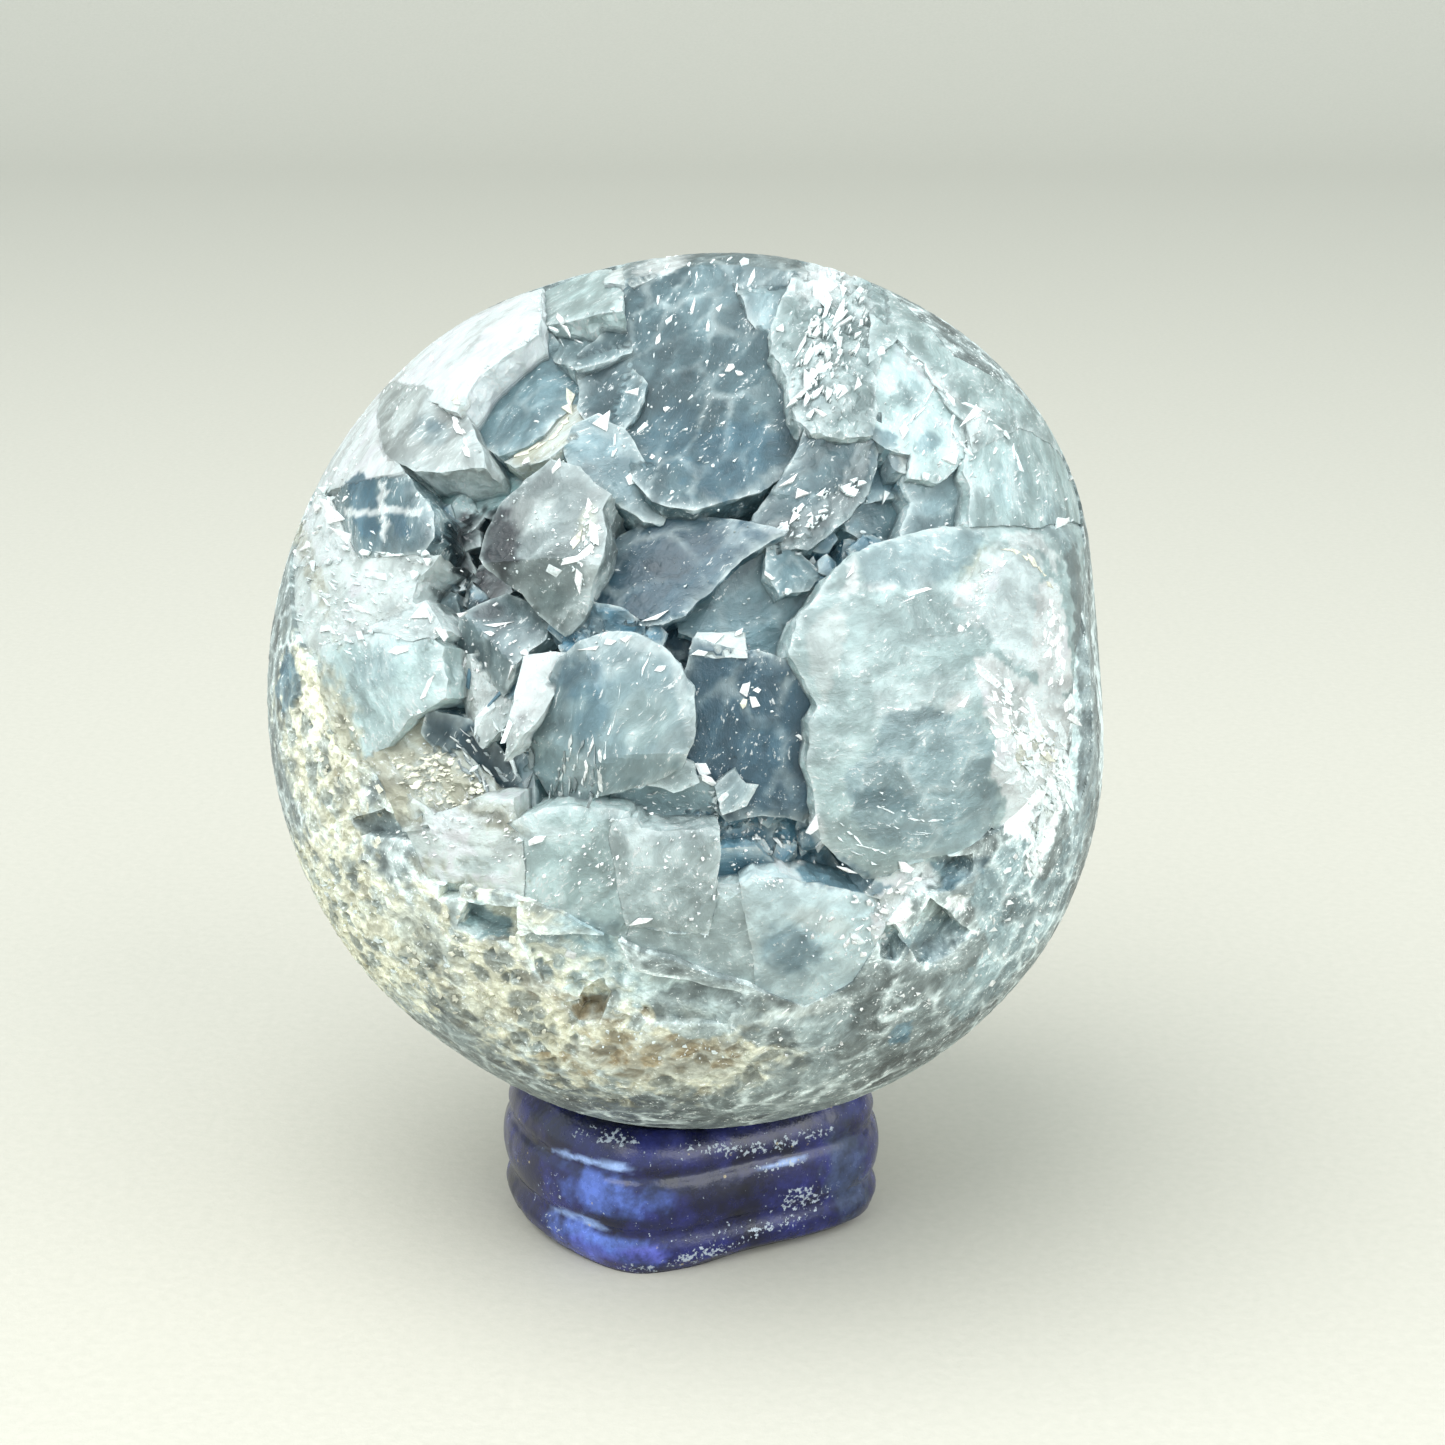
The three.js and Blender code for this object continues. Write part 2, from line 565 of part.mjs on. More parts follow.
// The block inside a cone from the ball's centre through an outline seen at a depth, between two distances
// from the centre. The edge is moved out by widen, measured on the ball's surface.
function coneBlock(outline, near, far, widen = 0, depth = 0) {
  const edge = outline.map(([right, up]) => seenWay(right, up, depth));
  const middle = edge.reduce((sum, way) => sum.add(way), new THREE.Vector3()).normalize();
  const shift = widen / MEAN_RADIUS;
  const ways = edge.map((way) => way.clone().lerp(middle, -shift / way.angleTo(middle)).normalize());
  const points = [
    middle.clone().multiplyScalar(near),
    middle.clone().multiplyScalar(far),
    ...ways.map((way) => way.clone().multiplyScalar(near)),
    ...ways.map((way) => way.clone().multiplyScalar(far)),
  ];
  const count = ways.length;
  const index = [];
  for (let i = 0; i < count; i++) {
    const [a, b] = [2 + i, 2 + ((i + 1) % count)];
    const [c, d] = [a + count, b + count];
    index.push(0, b, a, 1, c, d, a, b, d, a, d, c);
  }
  const geometry = new THREE.BufferGeometry().setFromPoints(points);
  geometry.setIndex(index);
  const solid = solidOf(geometry);
  if (solid.volume() > 0) return solid;
  geometry.setIndex(index.reverse());
  return solidOf(geometry);
}

// Part of a solid behind a face (or in front of it, as a space is) at a place seen on the ball, at a
// depth below its ground surface, leaning to the right and up
function trim(solid, [right, up, depth, leanRight, leanUp], keep) {
  const outward = seenWay(right, up, depth);
  const rightward = new THREE.Vector3(1, 0, 0).addScaledVector(outward, -outward.x).normalize();
  const upward = outward.clone().cross(rightward);
  const at = outward.clone().multiplyScalar(groundRadius(outward) - depth);
  const normal = outward.clone().addScaledVector(rightward, Math.tan(rad(leanRight)));
  normal.addScaledVector(upward, Math.tan(rad(leanUp)));
  normal.normalize().multiplyScalar(keep);
  return solid.trimByPlane(normal.toArray(), normal.dot(at));
}

const BEHIND = -1;
const IN_FRONT = 1;

function crystal({ outline, faces, sunk }) {
  const overlap = faces.length ? NATURAL_OVERLAP : GROUND_OVERLAP;
  const depth = faces.length ? faces.reduce((sum, face) => sum + face[2], 0) / faces.length : 0;
  const whole = coneBlock(outline, ROOT_RADIUS, FAR_RADIUS, overlap, depth);
  if (sunk) return whole.intersect(solidOf(groundShape(-sunk)));
  return faces.reduce((solid, face) => trim(solid, face, BEHIND), whole);
}

function pit({ outline, floor }) {
  return trim(coneBlock(outline, ROOT_RADIUS, FAR_RADIUS), floor, IN_FRONT);
}

// A small roof-ended crystal around a place, with its tip at a depth
function smallCrystal(middle, girth, tip, random) {
  const sides = 5 + Math.floor(2 * random());
  const turn = 2 * Math.PI * random();
  const stretch = 1 + random();
  const lie = Math.PI * random();
  const outline = [];
  for (let i = 0; i < sides; i++) {
    const angle = turn + (2 * Math.PI * (i + 0.4 * random())) / sides;
    const [along, across] = [girth * stretch * Math.cos(angle), girth * Math.sin(angle)];
    outline.push([
      middle[0] + along * Math.cos(lie) - across * Math.sin(lie),
      middle[1] + along * Math.sin(lie) + across * Math.cos(lie),
    ]);
  }
  const slope = 20 + 25 * random();
  const sway = [20 * (random() - 0.5), 20 * (random() - 0.5)];
  const faces = [1, -1].map((side) => [
    ...middle,
    tip,
    sway[0] - side * slope * Math.sin(lie),
    sway[1] + side * slope * Math.cos(lie),
  ]);
  return crystal({ outline, faces });
}

function hollowCrust(ground) {
  let crust = solidOf(groundShape(-FLOOR_DEPTH, FLOOR_CUTS));
  for (const shape of Object.values(CRYSTALS)) crust = crust.add(crystal(shape));
  const random = chance(20260);
  for (const { about, spread, count, tip } of SCATTER) {
    for (let i = 0; i < count; i++) {
      const middle = about.map((start, k) => start + spread[k] * (2 * random() - 1));
      crust = crust.add(smallCrystal(middle, 0.4 + 0.9 * random(), tip - 1.4 * random(), random));
    }
  }
  const clearance = 1.2 * GAP * (MEAN_RADIUS / HOLLOW_RADIUS);
  const inside = coneBlock(HOLLOW_EDGE, HOLLOW_RADIUS + GAP, FAR_RADIUS, -clearance);
  return mainPiece(crust.intersect(ground).intersect(inside));
}

function ballBody(ground) {
  let body = ground.subtract(coneBlock(HOLLOW_EDGE, HOLLOW_RADIUS, FAR_RADIUS));
  for (const shape of [...PITS, RIGHT_GROOVE]) body = body.subtract(pit(shape));
  return mainPiece(body);
}

// The ring's widest outline in plan, a four-cornered stone, and how far its foot is set in at each point
const STAND_PLAN = [
  [18.3, 1.6, 1.8],
  [15.6, 9, 1.2],
  [9.4, 14, 1.2],
  [1.4, 17.8, 1.4],
  [-7.6, 16, 1.2],
  [-15.2, 11.6, 1.2],
  [-18.9, 5, 1.2],
  [-17.6, -3.2, 1.6],
  [-13.2, -10.2, 1.6],
  [-6.4, -15, 1.2],
  [-0.6, -14.4, 1.6],
  [5.6, -11.4, 2.2],
  [12.2, -8, 2.6],
  [17, -4, 2.4],
];
// The outside from the foot up, with its three bands: how far it stands out of the plan, and its height.
// The foot is set in by the plan's own amount.
const STAND_PROFILE = [
  [-0.4, 1.3],
  [0, 2.6],
  [-0.5, 4.5],
  [-0.1, 5.4],
  [0.2, 7.4],
  [-0.1, 9.4],
  [-0.6, 10.3],
  [-0.4, 11.4],
  [-0.9, 12.8],
  [-2.2, 14.4],
];

// The ring, with its top hollowed to take the ball
function standRing(ballPlace) {
  const plan = new THREE.CatmullRomCurve3(STAND_PLAN.map((point) => new THREE.Vector3(...point)), true);
  const bore = [
    [BORE_RADIUS, STAND_HEIGHT],
    [BORE_RADIUS, BORE_EDGE],
    [BORE_RADIUS + BORE_EDGE, 0],
  ];
  const points = [];
  for (let i = 0; i < STAND_STEPS; i++) {
    const { x, y, z: setIn } = plan.getPoint(i / STAND_STEPS);
    const [reach, bearing] = [Math.hypot(x, y), Math.atan2(y, x)];
    const outside = STAND_PROFILE.map(([out, z]) => [reach + out, z]);
    for (const [r, z] of [[reach - setIn, 0], ...outside, ...bore]) {
      points.push(new THREE.Vector3(r * Math.cos(bearing), r * Math.sin(bearing), z));
    }
  }
  const round = 1 + STAND_PROFILE.length + bore.length;
  const index = [];
  for (let i = 0; i < STAND_STEPS; i++) {
    for (let j = 0; j < round; j++) {
      const [a, b] = [i * round + j, i * round + ((j + 1) % round)];
      const [c, d] = [(a + round) % points.length, (b + round) % points.length];
      index.push(a, c, d, a, d, b);
    }
  }
  const geometry = new THREE.BufferGeometry().setFromPoints(points);
  geometry.setIndex(index);
  return solidOf(geometry).subtract(solidOf(groundShape(GAP).applyMatrix4(ballPlace)));
}

function piece(name, solid, finish) {
  const material = new THREE.MeshStandardMaterial({ metalness: 0, ...finish });
  const mesh = new THREE.Mesh(geometryOf(solid), material);
  mesh.name = name;
  return mesh;
}

const ground = solidOf(groundShape(0));
const ball = new THREE.Group();
ball.rotation.x = rad(90 - VIEW_TILT);
ball.position.z = BALL_CENTRE_Z;
ball.updateMatrix();
ball.add(
  piece("celestite_ball", ballBody(ground), { color: 0xa9b8bb, roughness: 0.35 }),
  piece("crystal_crust", hollowCrust(ground), { color: 0x7f9cab, roughness: 0.2 }),
);

const object = new THREE.Group();
object.add(ball, piece("ring_stand", standRing(ball.matrix), { color: 0x26308a, roughness: 0.3 }));
const middle = new THREE.Box3().setFromObject(object, true).getCenter(new THREE.Vector3());
object.position.set(-middle.x, -middle.y, 0);

export default object;
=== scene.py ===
# The looks of a celestite ball, ground from a crystal-filled lump of geode, on a ring cut from lapis.
# Lengths are millimetres until a mesh is made. A place on the ball is given as the camera sees it, in
# millimetres right and up of the ball's middle.
import math

import bpy
import numpy as np
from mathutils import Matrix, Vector, kdtree, noise
from mathutils.bvhtree import BVHTree
from mathutils.geometry import delaunay_2d_cdt


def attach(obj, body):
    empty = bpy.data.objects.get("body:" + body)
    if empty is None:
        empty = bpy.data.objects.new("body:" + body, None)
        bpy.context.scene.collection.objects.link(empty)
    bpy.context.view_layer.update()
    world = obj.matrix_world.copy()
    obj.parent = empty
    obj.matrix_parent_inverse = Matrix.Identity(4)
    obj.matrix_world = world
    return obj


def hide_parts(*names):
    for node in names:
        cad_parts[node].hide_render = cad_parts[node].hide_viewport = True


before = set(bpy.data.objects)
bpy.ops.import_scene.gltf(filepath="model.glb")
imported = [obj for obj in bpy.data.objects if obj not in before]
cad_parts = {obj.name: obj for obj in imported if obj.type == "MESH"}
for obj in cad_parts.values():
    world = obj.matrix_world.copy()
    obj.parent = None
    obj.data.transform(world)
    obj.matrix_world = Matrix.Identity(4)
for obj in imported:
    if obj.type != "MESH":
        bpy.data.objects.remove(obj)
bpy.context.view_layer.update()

METRES = 0.001

# The ball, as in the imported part
HALF_WIDTH = 40.1
HALF_HEIGHT = 41.8
HALF_DEPTH = 40.5
LONG_AXIS_LEAN = math.radians(10.5)
MEAN_RADIUS = 40.9
BALL_CENTRE = np.array([0.378, 0.0, 54.6])
VIEW_TILT = math.radians(16.4)
VIEW_DISTANCE = 286
FLOOR_DEPTH = 7.5
HOLLOW_RADIUS = 27.5
CRUST_BACK = 28.2
NATURAL_OVERLAP = 0.7
GROUND_OVERLAP = 0.2

# The camera: the image's side and the focal length, both in pixels, and where the ball's middle is in it
IMAGE_SIZE = 1445
FOCAL_PIXELS = 3000
CAMERA_PITCH = math.radians(17)
CAMERA_PLACE = np.array([3.247, -274.435, 135.055])
BALL_MIDDLE_PIXEL = (692, 688)
PIXELS_PER_MM = 10.49

# How finely the surfaces are made
FINE_STEP = 0.43
COARSE_STEP = 0.85
BACK_STEP = 1.0
INSIDE_STEP = 1.6
WALL_STEP = 0.6
FINE_REACH = 60 # from the middle of the front, along the surface
FRONT_REACH = MEAN_RADIUS * math.radians(95)
RIM_POINTS = 480 # around the edge where front and back meet
MERGE_STEP = 0.12 # lower steps between crystals are smoothed away
SKIN = 0.07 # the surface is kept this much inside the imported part
EDGE_WALL_ROWS = 4 # of faces between the front and the inside
GRID_ROW = 0.866 # height of a row of even triangles, as a share of their side
GRID_SHAKE = 0.22
WOBBLES = [(2.6, 0.26), (0.9, 0.12)] # lengths of the waves in outlines, and their heights
LEAST_SLOPE = 0.05 # a face that leans more than this lets through is taken to be far away
FAR = 1e3
SCATTER_SEED = 20260
MORE_SCATTER_SEED = 4711
CRUST_SEED = 11
BODY_SEED = 23

# Places where the grinding left the ball high or low: bearing from the right and angle off the line of
# sight in degrees, height in millimetres and spread in degrees
SWELLS = [
    (42, 80, 0.9, 20),
    (325, 80, 0.9, 16),
    (302, 80, 0.8, 18),
    (6, 80, -2, 15),
    (98, 80, -0.9, 18),
    (108, 80, -0.4, 10),
    (238, 80, -0.5, 14),
]

# The edge of the crystal-filled hollow
HOLLOW_EDGE = [
    (38.6, 9.4), (37.2, 18), (33.6, 24.6), (24.6, 31), (19, 36.4), (15.2, 41.6), (9, 44.4), (2, 45),
    (-5.4, 43.4), (-12.4, 40.6), (-19.4, 37.6), (-26.2, 32.4), (-32, 26.2), (-36.4, 19.6), (-39, 12.6),
    (-38.6, 5.6), (-36.4, 1.2), (-34.4, -5.6), (-30, -8.8), (-27.6, -14.4), (-25.6, -18.8), (-18.4, -19.8),
    (-12.6, -21.4), (-6.8, -24.4), (-0.4, -26.6), (5.8, -28.6), (11, -30.6), (15.8, -28.4), (19.4, -22.4),
    (24.4, -17), (30.2, -13.8), (34.4, -9.4), (37, -4.6), (37.6, 2.4),
]

# The crystals of the hollow: outline, then the top faces (where a face is, its depth below the ground
# surface and its lean to the right and up in degrees), and how far a worn one is sunk
CRYSTALS = {
    # The great dark face at the top and what stands around it
    "great_face": ([
        (-1, 44), (5, 44.4), (8.6, 36), (9.6, 32.6), (10.4, 27.4), (11.6, 24.4), (10.4, 21.4), (6.4, 18.4),
        (0.4, 16.4), (-3.2, 17), (-6.8, 22), (-9.6, 25.6), (-9.4, 30), (-7, 32), (-5.2, 34.4), (-6, 38),
        (-5, 42),
    ], [(1, 28.4, 4.2, 2, -3)], 0),
    "great_face_step": ([
        (-10.4, 25), (-6.6, 24), (-5.2, 26), (-4.4, 28.4), (-6.4, 31), (-9, 31.2), (-10.6, 29.2),
    ], [(-7.6, 27.8, 3.4, -10, 4)], 0),
    "lower_left_block": ([
        (-11.4, 22.4), (-10.4, 24.2), (-8.4, 24.8), (-6.2, 23.6), (-4.4, 21), (-2.4, 18.6), (-3, 16.8),
        (-4.8, 16.8), (-8, 19.2), (-10.4, 20.2),
    ], [(-7, 21, 2.4, -8, -10), (-4.4, 18.6, 3, 22, -8)], 0),
    "top_left_rim": ([
        (-8.2, 44), (-1, 44.4), (0.6, 41.2), (-2.4, 39.9), (-5.4, 38.7), (-8.4, 39.4),
    ], [], 0.3),
    "upper_left_step": ([
        (-14.8, 40), (-8.4, 41.4), (-6.8, 37.2), (-6.4, 35), (-10, 34.6), (-14.6, 35), (-15.2, 37),
    ], [(-10.6, 37, 1.3, -6, 4)], 0),
    "upper_left_steps_foot": ([
        (-14.6, 35.2), (-10, 34.8), (-6.2, 35.2), (-6, 32.2), (-8.4, 30.8), (-10.4, 29.6), (-12.6, 31.8),
        (-14.8, 33.8),
    ], [(-10.4, 32.6, 2.6, 8, 10), (-12, 33.6, 2.4, -24, 0)], 0),
    "top_crystal": ([
        (2.8, 44), (11.2, 44.2), (10.4, 38.4), (9.4, 35), (8, 34.9), (5.8, 36.4), (4.6, 37.9), (2.8, 39),
    ], [(6.8, 39.6, 0.9, -6, -8), (6.6, 36.4, 1.5, 0, -30)], 0),
    "white_ridge": ([
        (10.2, 38.6), (10.8, 43.6), (16, 42), (17, 37), (17.4, 32), (17, 29), (17.6, 26.4), (17.2, 24.4),
        (14.6, 24), (11.8, 24.4), (10.2, 27.4), (9.9, 31), (8.6, 33.2), (8.6, 35),
    ], [(13.4, 32, 0.7, -4, 2), (11, 30, 1.1, -22, 0)], 0),
    "ridge_foot": ([
        (14.6, 24.2), (17.2, 24.6), (17.4, 20.4), (16.4, 18.4), (14.6, 16.6), (12, 14.4), (10.2, 14.4),
        (8.4, 13.6), (6.8, 15.6), (7.4, 17.6), (10, 20.6), (11.6, 24.4),
    ], [(12.6, 18.6, 2, 8, -10), (9.4, 18, 2.6, -10, -14)], 0),
    # The left side of the hollow
    "dark_face_left": ([
        (-14.8, 33.7), (-12.6, 32), (-10.6, 29.7), (-11.2, 27.6), (-13.2, 26.2), (-14, 24.4), (-15.6, 23.4),
        (-18.2, 22.8), (-20.4, 24.6), (-20.4, 30), (-18.8, 31.5),
    ], [(-16.6, 28, 3.2, -8, -4), (-12.4, 29, 3.4, 12, -4)], 0),
    "curved_blade": ([
        (-10.6, 29.8), (-10, 26.4), (-11.4, 23.4), (-13.4, 21.9), (-16.4, 21.7), (-17.8, 22.7),
        (-15.4, 23.6), (-13.8, 24.9), (-12.7, 27),
    ], [(-13, 24, 3, -14, 18)], 0),
    "left_prism": ([
        (-29, 28.8), (-27.4, 28.6), (-22.6, 27), (-20.9, 23.8), (-20.7, 22), (-26.6, 21.2), (-28.6, 23),
        (-29.4, 26),
    ], [(-25.2, 25, 0.5, 12, -4)], 0),
    "upper_left_rim": ([
        (-15.6, 42), (-14.4, 36), (-14.7, 33.8), (-20.2, 30.2), (-22.6, 26.8), (-28, 28.6), (-29, 24.8),
        (-27.8, 20.9), (-36, 19), (-40, 20), (-36, 30), (-26, 38),
    ], [], 0),
    "lens": ([
        (-30.4, 21.8), (-28, 20.8), (-26.4, 18.8), (-25, 17.2), (-25, 14.6), (-26.4, 13.1), (-32.4, 12.8),
        (-33.8, 16), (-35, 18.2), (-33, 21),
    ], [], 0),
    "left_fin": ([
        (-40, 20), (-34.4, 18.4), (-33, 14.6), (-32.2, 13.2), (-34.8, 12.2), (-42, 11.6),
    ], [], 0.2),
    "green_floor": ([
        (-26.8, 21), (-20.8, 22.2), (-17.4, 22.2), (-15.8, 21), (-16.2, 19.2), (-18.2, 16), (-20, 17),
        (-20.6, 15.2), (-25, 15),
    ], [(-18, 19.6, 5, -6, 14), (-23, 18.6, 5.8, 10, 10)], 0),
    "green_lumps": ([
        (-25.2, 19.8), (-23, 20.4), (-21.8, 18.8), (-21, 16.6), (-22.4, 13.6), (-24.4, 14.4), (-25.4, 16.4),
    ], [(-23.4, 18, 4.8, -12, 16), (-22, 15.4, 5.2, 26, -16)], 0),
    "hollow_block_a": ([
        (-27.5, 9), (-26.4, 11.2), (-25, 13.4), (-23.6, 14.2), (-22.4, 13.6), (-23, 10.4), (-24.2, 7.6),
        (-26.4, 7.9),
    ], [(-25, 11, 4.2, 18, 6)], 0),
    "hollow_block_b": ([
        (-22.6, 13.6), (-21.4, 12.4), (-21, 9.6), (-22.2, 6.4), (-24.4, 7.4), (-23, 10.4),
    ], [(-22.2, 10.2, 5.4, 8, -18)], 0),
    "hollow_block_c": ([
        (-20.9, 9.8), (-20.4, 11.3), (-18.7, 12.1), (-17.9, 9.4), (-19, 8.4), (-20.2, 7.7), (-21.1, 8.3),
    ], [(-19.5, 10.2, 5.6, 10, 12)], 0),
    "grey": ([
        (-15.4, 19), (-12.8, 20.8), (-10.4, 20.2), (-9.4, 18.6), (-8, 17.8), (-8.8, 16.4), (-8.3, 14.4),
        (-8.8, 11.8), (-10, 9.8), (-10.8, 7.8), (-13, 6.1), (-15.4, 8.2), (-16.2, 10), (-18.6, 11.5),
        (-19.3, 12.6), (-18.8, 14.6), (-17.6, 17),
    ], [(-14, 15, 0.25, -6, 2), (-14, 9, 2, -6, -34)], 0),
    # The middle
    "mid_slab": ([
        (-10.2, 7.8), (-10, 10), (-8.4, 12.6), (-6.2, 14.8), (-3.6, 16), (0, 16), (4.2, 15.2), (8.2, 13.6),
        (4.4, 11.8), (-0.6, 7.3), (-2.4, 6.8), (-5, 6.4),
    ], [(-3.4, 11.4, 4.2, -10, 6)], 0),
    "mid_slab_right": ([
        (-0.6, 7.5), (4.4, 12), (8.4, 13.6), (8.4, 11), (10.8, 9.2), (12.6, 8), (11, 5.4), (10.8, 1.8),
        (5, 3.1), (4.4, 4.9), (1.6, 4.8), (-0.4, 5.6),
    ], [(5.4, 8, 5.2, 6, -12), (2.8, 8.4, 4.6, -24, 4)], 0),
    "shell_chip": ([
        (8, 13.7), (9.6, 13.6), (11.4, 12.4), (12.7, 11.3), (11.4, 10), (9, 9.2), (7.8, 10.8),
    ], [(10, 11.6, 3.6, 20, 8)], 0),
    "small_brown": ([
        (-13.2, 5.6), (-11.8, 7.2), (-10.2, 8), (-7, 7.2), (-4.8, 6), (-4.8, 4.4), (-8, 4.2), (-11.6, 4.2),
    ], [(-9, 6, 4, -4, -26)], 0),
    "ledge_flake": ([
        (1.6, 5), (4.8, 5), (5, 3.1), (2.6, 3.5), (1, 3.9),
    ], [(3, 4.4, 3.2, -8, 18)], 0),
    "centre_slab": ([
        (1, 4), (5, 3), (10.8, 1.6), (11.8, 0.2), (13.2, -1.8), (12.4, -3.6), (12.4, -9.6), (10.8, -12.2),
        (7, -11.6), (4, -12.2), (2.2, -10.6), (-0.2, -6.8), (-0.4, -3), (0.2, 0.8),
    ], [(5.6, -4, 3.6, -5, -3)], 0),
    "lower_dark": ([
        (2.6, -11.4), (7, -11.4), (11, -12.2), (11.6, -14.6), (14, -17), (17.8, -18.6), (18.2, -20.2),
        (10, -19.2), (5, -19.6), (2.6, -20), (2.6, -14),
    ], [(8, -15.4, 5.2, 4, 6)], 0),
    "lower_dark_prism": ([
        (2.7, -15.6), (6.4, -16), (8, -17.6), (6.8, -19.2), (2.6, -20.2),
    ], [(5, -17.4, 3, 10, -14)], 0),
    "under_arch": ([
        (-6.6, -10), (-5, -8.8), (-1.8, -8.4), (1.8, -9), (2.2, -10.6), (1.4, -12.4), (0.8, -14),
        (-3.4, -13), (-6.6, -11.4),
    ], [(-2.4, -11, 4, -2, -18)], 0),
    "under_arch_tip": ([
        (-3, -8), (-1.4, -7.2), (-0.2, -7.8), (0.4, -9), (-1.4, -9.4), (-3.4, -9),
    ], [(-1.4, -8.4, 2.2, 4, 14)], 0),
    "splinter": ([
        (3.4, -9.8), (4.6, -8.8), (5, -10), (6.4, -9.8), (5.4, -11), (3.8, -11.6),
    ], [(4.4, -10.2, 2.6, 16, 10)], 0),
    "arch": ([
        (-12.4, 2.2), (-10, 3.7), (-7.5, 4.7), (-5, 4.3), (-2.6, 3.2), (-1.2, 1.7), (-0.2, 0), (0, -3),
        (-0.3, -5.2), (-1.2, -7.2), (-3, -8.4), (-6.6, -9.6), (-8.6, -9.9), (-12, -11.8), (-15, -11.4),
        (-17, -8.4), (-14.2, -1.8),
    ], [(-10, -1, 0.6, -26, -4), (-12.2, -7, 2.4, -30, -24), (-6, -8.4, 0.8, 6, -26)], 0),
    "bright_fin": ([
        (-15.6, 2.4), (-12, 3), (-12.6, 1.2), (-14, -1.8), (-16.8, -6.2), (-16, -1.8),
    ], [(-14.4, 0.6, 1.6, 20, 14)], 0),
    "twin_upper": ([
        (-18.8, 8.9), (-17, 8.3), (-15, 6.4), (-15.2, 4.8), (-16.6, 3.4), (-17.4, 1.4), (-18.6, -0.2),
        (-20.4, 2), (-22.4, 2.8), (-22.8, 4.6), (-21.6, 6.2), (-20.4, 7.4),
    ], [(-18.6, 4.8, 2.4, 24, 26), (-20, 3.6, 2.7, -18, -20)], 0),
    "twin_lower": ([
        (-22.5, 2.8), (-20.6, 2.4), (-19, 0), (-17.8, -1), (-18.4, -3), (-19.8, -5.2), (-21.4, -3.4),
        (-22.5, 0),
    ], [(-20.4, -0.4, 3, 26, 8), (-21, -1, 2.9, -26, 0)], 0),
    "striated_blade": ([
        (-23.6, -2.6), (-20.8, -3.6), (-19.4, -5.6), (-17.2, -9.6), (-18, -10.8), (-20.4, -10.4),
        (-22.6, -7.6), (-24.2, -4.6),
    ], [(-20.8, -6.6, 3.4, 14, -12)], 0),
    "fan_floor": ([
        (-19.4, -5.2), (-17.6, -6.6), (-16.2, -7.4), (-14.8, -11.4), (-17.6, -12.6), (-18, -10.4),
    ], [(-17.2, -9.4, 4.6, 0, 20)], 0),
    # The edges of the hollow that are ground with the ball, from the left round by the bottom to the top
    "left_pale": ([
        (-42, 12), (-33, 13), (-26.4, 13.2), (-25, 12.9), (-27, 10.6), (-27.6, 8.4), (-26.6, 7.6),
        (-28.8, 6.6), (-31, 5.9), (-32.6, 3.8), (-35, 1.8), (-42, 4),
    ], [], 0.4),
    "left_tab": ([
        (-31, 5.9), (-28.4, 6.7), (-26.2, 7.9), (-25.1, 6.8), (-24.2, 5.4), (-26.6, 4.3), (-28.8, 4.8),
    ], [(-26.8, 6, 0.3, -2, 4)], 0),
    "left_round": ([
        (-36, 4), (-31, 5.4), (-27, 4.3), (-25.4, 4.6), (-24.1, 3.8), (-24.4, 2.4), (-23.7, 0.8),
        (-24, -0.9), (-26, -2.3), (-27.6, -3), (-29.4, -5.6), (-33, -7.6), (-38, -6),
    ], [], 0),
    "sandy_slope": ([
        (-27.8, -2.8), (-24.6, -3.4), (-22.6, -7.4), (-20, -10.4), (-17.6, -11), (-24, -12.6), (-29, -13),
        (-32, -8),
    ], [(-25.6, -7.6, 1.8, 20, 14)], 0),
    "left_low": ([
        (-30, -9), (-25, -12.8), (-21, -11.2), (-17.6, -11.2), (-17, -13.6), (-15.4, -17), (-16.6, -22),
        (-30, -22),
    ], [], 0.6),
    "mid_low": ([
        (-17.6, -13.4), (-14, -12.2), (-9.8, -11.8), (-6, -12.4), (-5, -20), (-7, -27), (-16, -23),
        (-16, -15),
    ], [], 0.4),
    "square": ([
        (-7.2, -12.9), (-5, -12.9), (-4.4, -14.2), (3, -14.1), (2.7, -20), (2, -24), (-6, -23), (-7.6, -15),
    ], [], 0),
    "saddle": ([
        (0.4, -20), (5.4, -19.8), (5.6, -22), (6.8, -25.4), (7, -32), (-4, -31), (-9, -26), (-6, -21.8),
    ], [], 0.7),
    "wedge": ([
        (5.2, -19.6), (6.8, -18.7), (10, -19), (14.4, -19.8), (18.6, -20.8), (20, -26), (14, -33),
        (7.6, -32.6), (6.6, -28), (6.2, -24.6),
    ], [], 0.2),
    "low_right": ([
        (17.6, -20.2), (19.8, -17.6), (22.4, -16.9), (21.4, -19), (22, -23), (18, -24),
    ], [(20.2, -19.6, 0.5, 0, 8)], 0),
    "broad": ([
        (16.2, 12.8), (19.8, 14.4), (22.2, 15.1), (25, 15.5), (33, 15.4), (42, 17), (42, -14), (31, -15),
        (29.6, -13.6), (28, -15.4), (25.6, -16.3), (22, -16.8), (19.6, -18.2), (17.4, -18.5), (15, -16.8),
        (13.4, -15), (12.6, -12), (12, -7.4), (12.1, -3.4), (13, -1.7), (11, 1.6), (10.4, 3), (10.4, 5),
        (11.4, 7.2), (12.6, 8.8), (14.6, 11.4),
    ], [], 0),
    "right_prism": ([
        (27.4, 19.4), (27.4, 15.2), (42, 15), (40, 24), (30.4, 25), (27, 23.2), (26.6, 21),
    ], [], 0.25),
    "blue_face": ([
        (20.4, 14.2), (27.6, 15), (27.6, 19.4), (24.4, 20.6), (21, 21.2), (20.7, 19.4), (21.9, 17.9),
    ], [(24.4, 17.6, 2.2, 4, -10)], 0),
    "valley_face": ([
